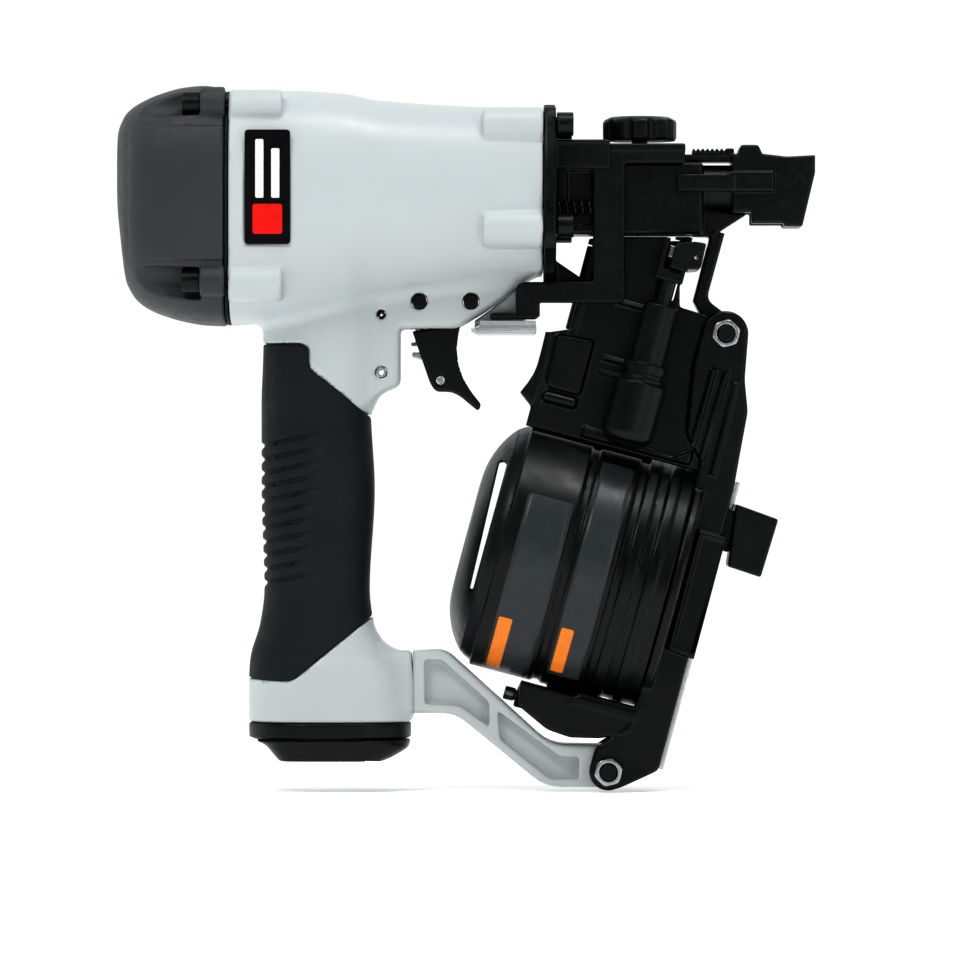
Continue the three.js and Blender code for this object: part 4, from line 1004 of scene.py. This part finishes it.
def make_magazine_frame():
    """The cast throat and spine that carry the feed and the canister, with their bolts and nuts."""
    spine = [
        *arc(PIVOT_U, PIVOT_HIGH, 8.7, pi, 0.1, 16), (52, -62, 2), (56.3, -73.4, 2), (57.5, -88.8),
        (58.8, -104), (58.8, -214, 2), (46, -224.5, 2), *arc(PIVOT_U, PIVOT_LOW, 7.2, -0.9, -pi, 12),
        (33.2, -212, 2),
        (44, -200, 3), (44, -96, 3), (36, -88, 3), (31.7, -62, 2),
    ]
    wall = [
        (-17, -23.8), (19, -14.2), (19, -34, 1), (21, -41.5, 1), (32.4, -41.9, 1), (33.5, -53, 2),
        (41, -57, 2), (46, -62), (46, -99), (44, -100.2), (-24, -100.2), (-24, -92.5), (-25.6, -80),
        (-25.6, -64), (-17.4, -60.5),
    ]
    lip = [
        (-25.7, -64, 0.5), (-24.9, -72, 12), (-25.5, -80.6, 8), (-29.4, -88.5, 0.5), (-24, -92.5),
        (-22.8, -88, 2), (-22.2, -76, 6), (-23.2, -64, 0.5),
    ]
    foot = [
        (-0.8, -194.7), (0.8, -204, 1), (13.8, -210, 2), (23, -210.6), (34, -208), (45, -203), (45, -194.7),
    ]
    panel = [(49.6, -121.6, 1), (62, -121.6, 1.5), (61.6, -169.8, 1.5), (49.8, -168.4, 1)]
    panel_pocket = [(51.4, -124, 1), (60.2, -124, 1), (59.8, -167.4, 1), (51.6, -166.2, 1)]
    ribs = [
        plate([(u0, v0), (u0 + 1.9, v0), (u1 + 1.9, v1), (u1, v1)], -LUG_OUT - 1, -13, 0.5)
        for u0, v0, u1, v1 in ((38.6, -61, 38.2, -92), (43.4, -61, 43, -96), (48.2, -64, 48.4, -100))
    ]
    details = [
        plate([(19, -198), (22.5, -192.8, 1), (46, -192.8), (46, -198)], -LUG_OUT, -8.6, 0.5),
        plate([(-21.6, -63.5, 2), (-7, -62.4, 2), (-7, -84, 2), (-20.6, -84, 3)], -13.4, -11, 1),
        rod("x", 2.2, -20.6, -7.6, -11.8, -87.4, 1.2),
        *[box(-2.5, 14, -13.1, -11, v - 0.7, v + 0.7, 0.4) for v in (-67.6, -73.2, -45.5)],
        plate([(-2.5, -94.5, 1), (33, -98, 1), (40, -93, 1), (40, -98.6), (-2.5, -98.6)], -13.2, -11, 0.6),
    ]
    spine_core = cut(
        0.6, plate(spine, -LUG_OUT, LUG_OUT, 1.0),
        box(48, 70, -LUG_IN, LUG_IN, -240, -40), box(20, 48.1, -LUG_IN, LUG_IN, -96, -30),
        box(20, 48.1, -LUG_IN, LUG_IN, -240, -200),
    )

    def door_knuckle(low, high):
        return join(0.4, rod("z", 2.7, low, high, *DOOR, 0.3), box(-17, -14.8, 3, 7, low, high, 0.3))

    def cover_knuckle(low, high):
        barrel = rod("x", 4.4, low, high, *HINGE, 0.5)
        return join(0.5, barrel, box(low, high, 0, 7, -205, -196.7, 0.5))

    body = join(
        0.8, spine_core,
        rod("x", 46, 44.2, 48, *CANISTER, 1),
        plate(wall, -11.8, -7.8, 0.8),
        plate(lip, -11.8, 9, 0.9),
        box(-17, -14.8, -11.8, 5, -64, -23.6),
        plate(foot, -LUG_OUT, 4.2, 1),
        plate(panel, -17.6, -13.8, 0.9),
        door_knuckle(-26.8, -24),
        door_knuckle(-64, -60.7),
        rod("x", 5, -6, 45, *CANISTER, 0.5),
        cover_knuckle(-0.8, 9.4),
        cover_knuckle(30, 40),
        *ribs,
        *details,
    )
    form("magazine_frame", cut(
        0.5, body,
        box(10, 18, -14, -6, -40, -17),
        plate([(-30, -27.2), (-30, 0), (30, 0), (30, -11.3)], -20, 20),
        plate(panel_pocket, -19, -16.9, 0.4),
        *[rod("y", BOLT_HOLE, -20, 20, PIVOT_U, v) for v in (PIVOT_HIGH, PIVOT_LOW)],
        rod("z", 1.5, -70, -20, *DOOR),
        rod("x", 2.3, -10, 42, *HINGE),
    ), 1.0, BLACK_CASTING, tilted)
    for which, v in (("upper", PIVOT_HIGH), ("lower", PIVOT_LOW)):
        at = PIVOT_U, v
        bolt = join(0.2, rod("y", 3.1, -21.6, 16, *at, 0.4), rod("y", 5.4, 15.7, 19.7, *at, 0.6))
        bolt = cut(0.2, bolt, hexagon("y", 5, 17.6, 21, *at))
        form(f"{which}_magazine_bolt", bolt, 0.45, BLACK_STEEL, tilted)
        nut = both(0.5, hexagon("y", 10, -20.9, -15.7, *at), rod("y", 5.55, -21, -15.6, *at, 1.2))
        nut = cut(0.4, nut, rod("y", BOLT_HOLE, -23, -13, *at))
        form(f"{which}_magazine_nut", nut, 0.3, BARE_STEEL, tilted)


# The canister's outside as (u, radius): a dome at the back, bands for the labels, steps towards the frame.
CANISTER_OUTSIDE = [
    (43.7, 47.1, 0.4), (39.2, 47.1), (38.4, 48, 0.5), (35, 48, 0.5), (34.2, 47), (31, 47), (30.2, 47.9, 0.4),
    (26.2, 47.9, 0.4), (25.4, 46.9), (22.8, 46.9), (22, 48, 0.5), (6.8, 48, 0.5), (5.8, 47), (3.8, 47),
    (2.8, 48, 0.5), (-21.2, 48, 0.4), (-21.5, 46.3, 0.3), (-24.8, 45.2, 3), (-28.5, 41.4, 4),
    (-32.2, 34.9, 4), (-34.6, 27.5, 4), (-35.1, 20, 4), (-35.1, 0),
]
CANISTER_INSIDE = [
    (-32.7, 0), (-32.7, 19, 4), (-32.1, 26, 4), (-29.9, 33.6, 4), (-26.4, 39.7, 3), (-23, 43, 3), (-20, 44.4),
    (-18, 45), (43.7, 45),
]


def make_canister():
    """The canister, its cover on a hinge pin, and the platform inside."""
    shell = turned("x", CANISTER_OUTSIDE + CANISTER_INSIDE, *CANISTER)
    window = plate([(-30, -116.2, 1), (-27, -115.6, 1), (-27.2, -166.5, 0.5), (-28.4, -166.5, 0.5)], -90, 90)
    slot = box(-21, 26, -7.6, 12, -120, -90, 1)
    right = box(-50, 60, -80, CANISTER_Y - 0.15, -220, -80, 0.1)
    left = box(-50, 60, CANISTER_Y + 0.15, 90, -220, -80, 0.1)
    form("canister_body", cut(0.6, both(0.3, shell, right), window, slot), 0.85, BLACK_PLASTIC, tilted)
    knuckle = join(
        0.5, rod("x", 4.4, 9.8, 29.6, *HINGE, 0.5),
        box(9.8, 29.6, CANISTER_Y + 0.4, CANISTER_Y + 4.4, HINGE_V, CANISTER_V - CANISTER_R + 2, 0.5),
    )
    form("canister_cover", cut(
        0.6, join(0.8, both(0.3, shell, left), knuckle), window, rod("x", 2.3, 0, 42, *HINGE),
    ), 1.05, BLACK_PLASTIC, tilted)
    pin = join(0.2, rod("x", 2, -3, 40, *HINGE, 0.4), rod("x", 2.6, -5.5, -1.3, *HINGE, 0.6))
    form("canister_hinge_pin", pin, 0.45, ALUMINIUM, tilted)
    form("nail_platform", turned("x", [
        (30, 30, 0.6), (30, 5.5, 0.4), (20, 5.5, 0.4), (20, 8, 0.6), (28, 8), (28, 30, 0.6),
    ], *CANISTER), 0.8, BLACK_PLASTIC, tilted)


FILM = 0.3                      # thickness of a label


def canister_film(name, u0, u1, v_low, v_high, lift, corner=1.2, material=None):
    """A film label round the canister's right side between two heights, with rounded corners."""
    radius = CANISTER_R + lift
    start, end = (asin(np.clip((v - CANISTER_V) / CANISTER_R, -1, 1)) for v in (v_low, v_high))
    length = (end - start) * CANISTER_R
    along = np.concatenate([
        np.linspace(0, corner, 8), np.linspace(corner, length - corner, 90)[1:-1],
        np.linspace(length - corner, length, 8),
    ])
    past = np.maximum(corner - np.minimum(along, length - along), 0)
    inset = corner - np.sqrt(np.maximum(corner ** 2 - past ** 2, 0))
    across = np.linspace(-1, 1, 9)
    rings = []
    for away in (radius, radius - FILM):
        turn = (start + along / CANISTER_R)[:, None]
        u = (u0 + u1) / 2 + across[None, :] * ((u1 - u0) / 2 - inset)[:, None]
        rings.append(np.stack(np.broadcast_arrays(
            u, CANISTER_Y - away * np.cos(turn), CANISTER_V + away * np.sin(turn),
        ), axis=-1).reshape(-1, 3))
    rows, columns = len(along), len(across)
    faces = []
    for side, first in ((1, 0), (-1, rows * columns)):
        for i in range(rows - 1):
            for j in range(columns - 1):
                a = first + i * columns + j
                faces.append([a, a + 1, a + columns + 1, a + columns][::side])
    border = [j for j in range(columns)] + [i * columns + columns - 1 for i in range(1, rows)]
    border += [(rows - 1) * columns + j for j in range(columns - 2, -1, -1)]
    border += [i * columns for i in range(rows - 2, 0, -1)]
    for a, b in zip(border, border[1:] + border[:1]):
        faces.append([b, a, a + rows * columns, b + rows * columns])
    piece = mesh_object(name, tilted(np.concatenate(rings)), np.array(faces), material)
    piece.data.shade_flat()
    smooth = [k < 2 * (rows - 1) * (columns - 1) for k in range(len(faces))]
    piece.data.polygons.foreach_set("use_smooth", smooth)
    attach(piece, "canister_body", stands_for=False)


def make_canister_labels():
    """Plain grey labels with a plain orange band on each."""
    canister_film("label_rear", -16.4, 1.4, -193.4, -124.5, 0.12, material=LABEL_GREY)
    canister_film("label_front", 7.8, 20.4, -189, -106, 0.12, material=LABEL_GREY)
    canister_film("band_rear", -15.2, -9.8, -192.2, -172.5, 0.22, 0.8, LABEL_ORANGE)
    canister_film("band_front", 8.8, 13.8, -187.6, -170.5, 0.22, 0.8, LABEL_ORANGE)


def make_feed():
    """The feed cylinder, its piston and spring, and the pawl that pushes the nails."""
    form("feed_cylinder", turned("z", [
        (-99, 0), (-98, 6, 1), (-95, 9.4, 1), (-93, 10, 0.6), (-73.4, 10, 0.6), (-73, 8.4), (-71.4, 8.4, 0.3),
        (-71.2, 7.8), (-69.8, 7.8), (-69.6, 8.4, 0.3), (-66, 8.4, 0.4), (-65.8, 6.8), (-43, 6.8, 0.6),
        (-43, 3, 0.3), (-73, 3), (-74, 8), (-96.4, 8), (-96.4, 0),
    ], *FEED), 0.55, BLACK_CASTING, tilted)
    carriage = cut(
        0.3, box(8.6, 19.4, -26, -12.2, -33.5, -17.5, 0.6), box(10.8, 17.2, -30, -10, -29.5, -15, 0.4),
        rod("x", 1.8, 5, 22, *PAWL),
    )
    form("feed_piston", join(
        0.4,
        turned("z", [(-80.5, 0), (-80.5, 7.6, 0.4), (-75.5, 7.6, 0.4), (-75.5, 0)], *FEED),
        rod("z", 2.6, -77, -31, *FEED), carriage,
    ), 0.5, BLACK_STEEL, tilted)
    spring(
        "feed_spring", "feed_stroke", 9, "z", 5.6, 0.6, -96, -80.8, 4, BARE_STEEL, *FEED, tilted,
    )
    tooth = [
        (11.2, -20.5, 0.6), (16.8, -20.5, 0.6), (16.8, -6), (15.4, -4.2, 0.4), (12.6, -4.2, 0.4), (11.2, -6),
    ]
    form("feed_pawl", join(
        0.3, prism("z", tooth, -24.5, -19.9, 0.4), rod("x", 1.5, 8.8, 19.2, *PAWL, 0.3),
    ), 0.35, BARE_STEEL, tilted)


def make_door():
    """The side door of the nail throat, with its pin and latch."""
    panel = [(-13, -59.8, 1), (17.8, -59.8, 2), (17.8, -30, 2), (17.8, -15.6, 1), (-13, -23.8, 1)]
    form("feed_door", cut(
        0.3, join(
            0.4, plate(panel, 7, 9.4, 0.5), rod("z", 2.7, -60.2, -27.2, *DOOR, 0.4),
            box(DOOR_U, -12, 7.2, 9.4, -59.8, -27.4, 0.4),
        ), rod("z", 1.5, -70, -20, *DOOR),
    ), 0.55, BLACK_STEEL, tilted)
    form("door_hinge_pin", rod("z", 1.2, -63.8, -27, *DOOR, 0.3), 0.35, BARE_STEEL, tilted)
    bar = [(19.8, -27.6, 1), (24.6, -26, 1), (24.2, -16.2, 1), (19.8, -16.6, 1)]
    tab = [(13, -28.6, 1), (20, -28.6), (20, -16.6), (13, -19, 1)]
    latch = join(0.4, plate(bar, -29.4, 12, 0.5), plate(tab, -29.4, -26.5, 0.5))
    form("door_latch", cut(0.3, latch, rod("y", 1.1, -40, 20, 22, -21.9)), 0.5, BLACK_STEEL, tilted)


LOCK = LOCK_U, LOCK_V = 70.5, -121           # the axis of the guide's knob


def make_shingle_guide():
    """The guide that rides on its rail, and the knob that locks it."""
    form("guide_rail", join(
        0.4, box(56, 60.8, -5, 5, -213.6, -100, 0.7), box(48.3, 56.5, -5, 5, -106.5, -100, 0.6),
        box(48.3, 56.5, -5, 5, -213.6, -207, 0.6),
    ), 0.7, ALUMINIUM, tilted)
    block = [(61.2, -108.4, 0.6), (78.2, -109.9, 1), (77.4, -133, 1), (64.2, -132.2, 1)]
    hollow = [(63.6, -112), (79.4, -113), (79.4, -130), (66, -129.4)]
    form("shingle_guide", cut(
        0.4, join(0.5, plate(block, -13, 13, 0.9), box(54.2, 63, -9, 9, -127, -111, 0.7)),
        box(53, 61.1, -5.3, 5.3, -135, -105), plate(hollow, -10, 10), rod("y", 2.2, 0, 20, *LOCK),
    ), 0.6, BLACK_CASTING, tilted)
    turns = np.linspace(0, 2 * pi, 13)[:-1]
    flutes = [rod("y", 0.9, 12, 21, LOCK_U + 6.9 * cos(t), LOCK_V + 6.9 * sin(t)) for t in turns]
    knob = join(0.3, rod("y", 6.5, 13.3, 19, *LOCK, 0.7), rod("y", 1.9, 8, 13.6, *LOCK, 0.3))
    form("guide_knob", cut(0.3, knob, *flutes), 0.4, BLACK_PLASTIC, tilted)


# ---------------------------------------------------------------- stage

FLOOR = 40.0                    # half the floor's side, in metres
DROP = 0.0006                   # how far it lies under the tool
ROOM_WHITE, ROOM_DIM = 0.76, 0.1    # how bright the room is behind the tool and in front of it


def make_stage():
    """A pale floor just under the tool."""
    material = bpy.data.materials.new("pale_floor")
    material.use_nodes = True
    surface = material.node_tree.nodes["Principled BSDF"]
    surface.inputs["Base Color"].default_value = (0.95, 0.95, 0.95, 1)
    surface.inputs["Roughness"].default_value = 0.8
    surface.inputs["Emission Color"].default_value = (1, 1, 1, 1)
    surface.inputs["Emission Strength"].default_value = 0.26
    corners = [(-FLOOR, -FLOOR), (FLOOR, -FLOOR), (FLOOR, FLOOR), (-FLOOR, FLOOR)]
    points = np.array([(x, y, -DROP) for x, y in corners])
    mesh_object("floor", points, np.array([[0, 1, 2, 3]]), material)


def area_light(name, place, target, width, height, power):
    """A white rectangular lamp that faces a target."""
    light = bpy.data.lights.new(name, "AREA")
    light.shape = "RECTANGLE"
    light.size, light.size_y = width, height
    light.energy = power
    lamp = bpy.data.objects.new(name, light)
    lamp.location = place
    lamp.rotation_euler = (Vector(target) - Vector(place)).to_track_quat("-Z", "Y").to_euler()
    bpy.context.scene.collection.objects.link(lamp)


def light_scene():
    """A room that is bright behind the tool and dim in front of it, with soft boxes above and to the sides.
    The room itself is seen white from every side, as the floor is."""
    world = bpy.data.worlds.new("studio")
    bpy.context.scene.world = world
    world.use_nodes = True
    tree = world.node_tree
    background = tree.nodes["Background"]
    background.inputs["Color"].default_value = (0.97, 0.99, 1.0, 1)
    towards = add(tree, "SeparateXYZ", "Y", add(tree, "TexCoord", "Generated"))
    strength = add(
        tree, "MapRange", "Result", Value=towards, From_Min=-0.8, From_Max=0.6,
        To_Min=ROOM_DIM, To_Max=ROOM_WHITE,
    )
    direct = add(tree, "LightPath", "Is Camera Ray")
    seen = add(tree, "Math", "Value", direct, ROOM_WHITE, operation="MULTIPLY")
    brighter = add(tree, "Math", "Value", strength, seen, operation="MAXIMUM")
    tree.links.new(brighter, background.inputs["Strength"])
    middle = (0, 0, 0.13)
    area_light("key", (-0.55, -1.0, 1.25), middle, 0.6, 0.45, 7)
    area_light("fill", (0.9, -1.3, 0.45), middle, 0.35, 0.6, 2.0)
    area_light("top", (0.25, -0.35, 1.2), middle, 0.45, 0.3, 4)
    area_light("rim_left", (-1.2, 0.2, 0.5), middle, 0.15, 1.0, 1.6)


VIEW_WIDTH = 0.3686             # what the picture spans across the tool
VIEW_CENTRE = (0.00706, 0.1161)
VIEW_DISTANCE = 2.6
SENSOR = 36                     # width of the camera's sensor, in millimetres


def make_camera():
    """The camera looks straight along Y, from far enough to flatten the perspective."""
    camera = bpy.data.cameras.new("camera")
    camera.sensor_width = SENSOR
    near_side = ORIGIN[1] - 0.02
    camera.lens = SENSOR * (VIEW_DISTANCE - abs(near_side)) / VIEW_WIDTH
    camera.clip_start, camera.clip_end = 0.1, 20
    viewer = bpy.data.objects.new("camera", camera)
    viewer.location = (VIEW_CENTRE[0], -VIEW_DISTANCE, VIEW_CENTRE[1])
    viewer.rotation_euler = (pi / 2, 0, 0)
    bpy.context.scene.collection.objects.link(viewer)
    bpy.context.scene.camera = viewer
    bpy.context.scene.view_settings.view_transform = "Standard"
    bpy.context.scene.view_settings.look = "High Contrast"


for make in (
    make_camera, light_scene, make_stage, make_housing, make_label, make_grip, make_handle_cap,
    make_magazine_arm, make_rear_cap, make_drive, make_nose, make_contact_foot, make_trigger,
    make_magazine_frame, make_canister, make_canister_labels, make_feed, make_door, make_shingle_guide,
):
    make()
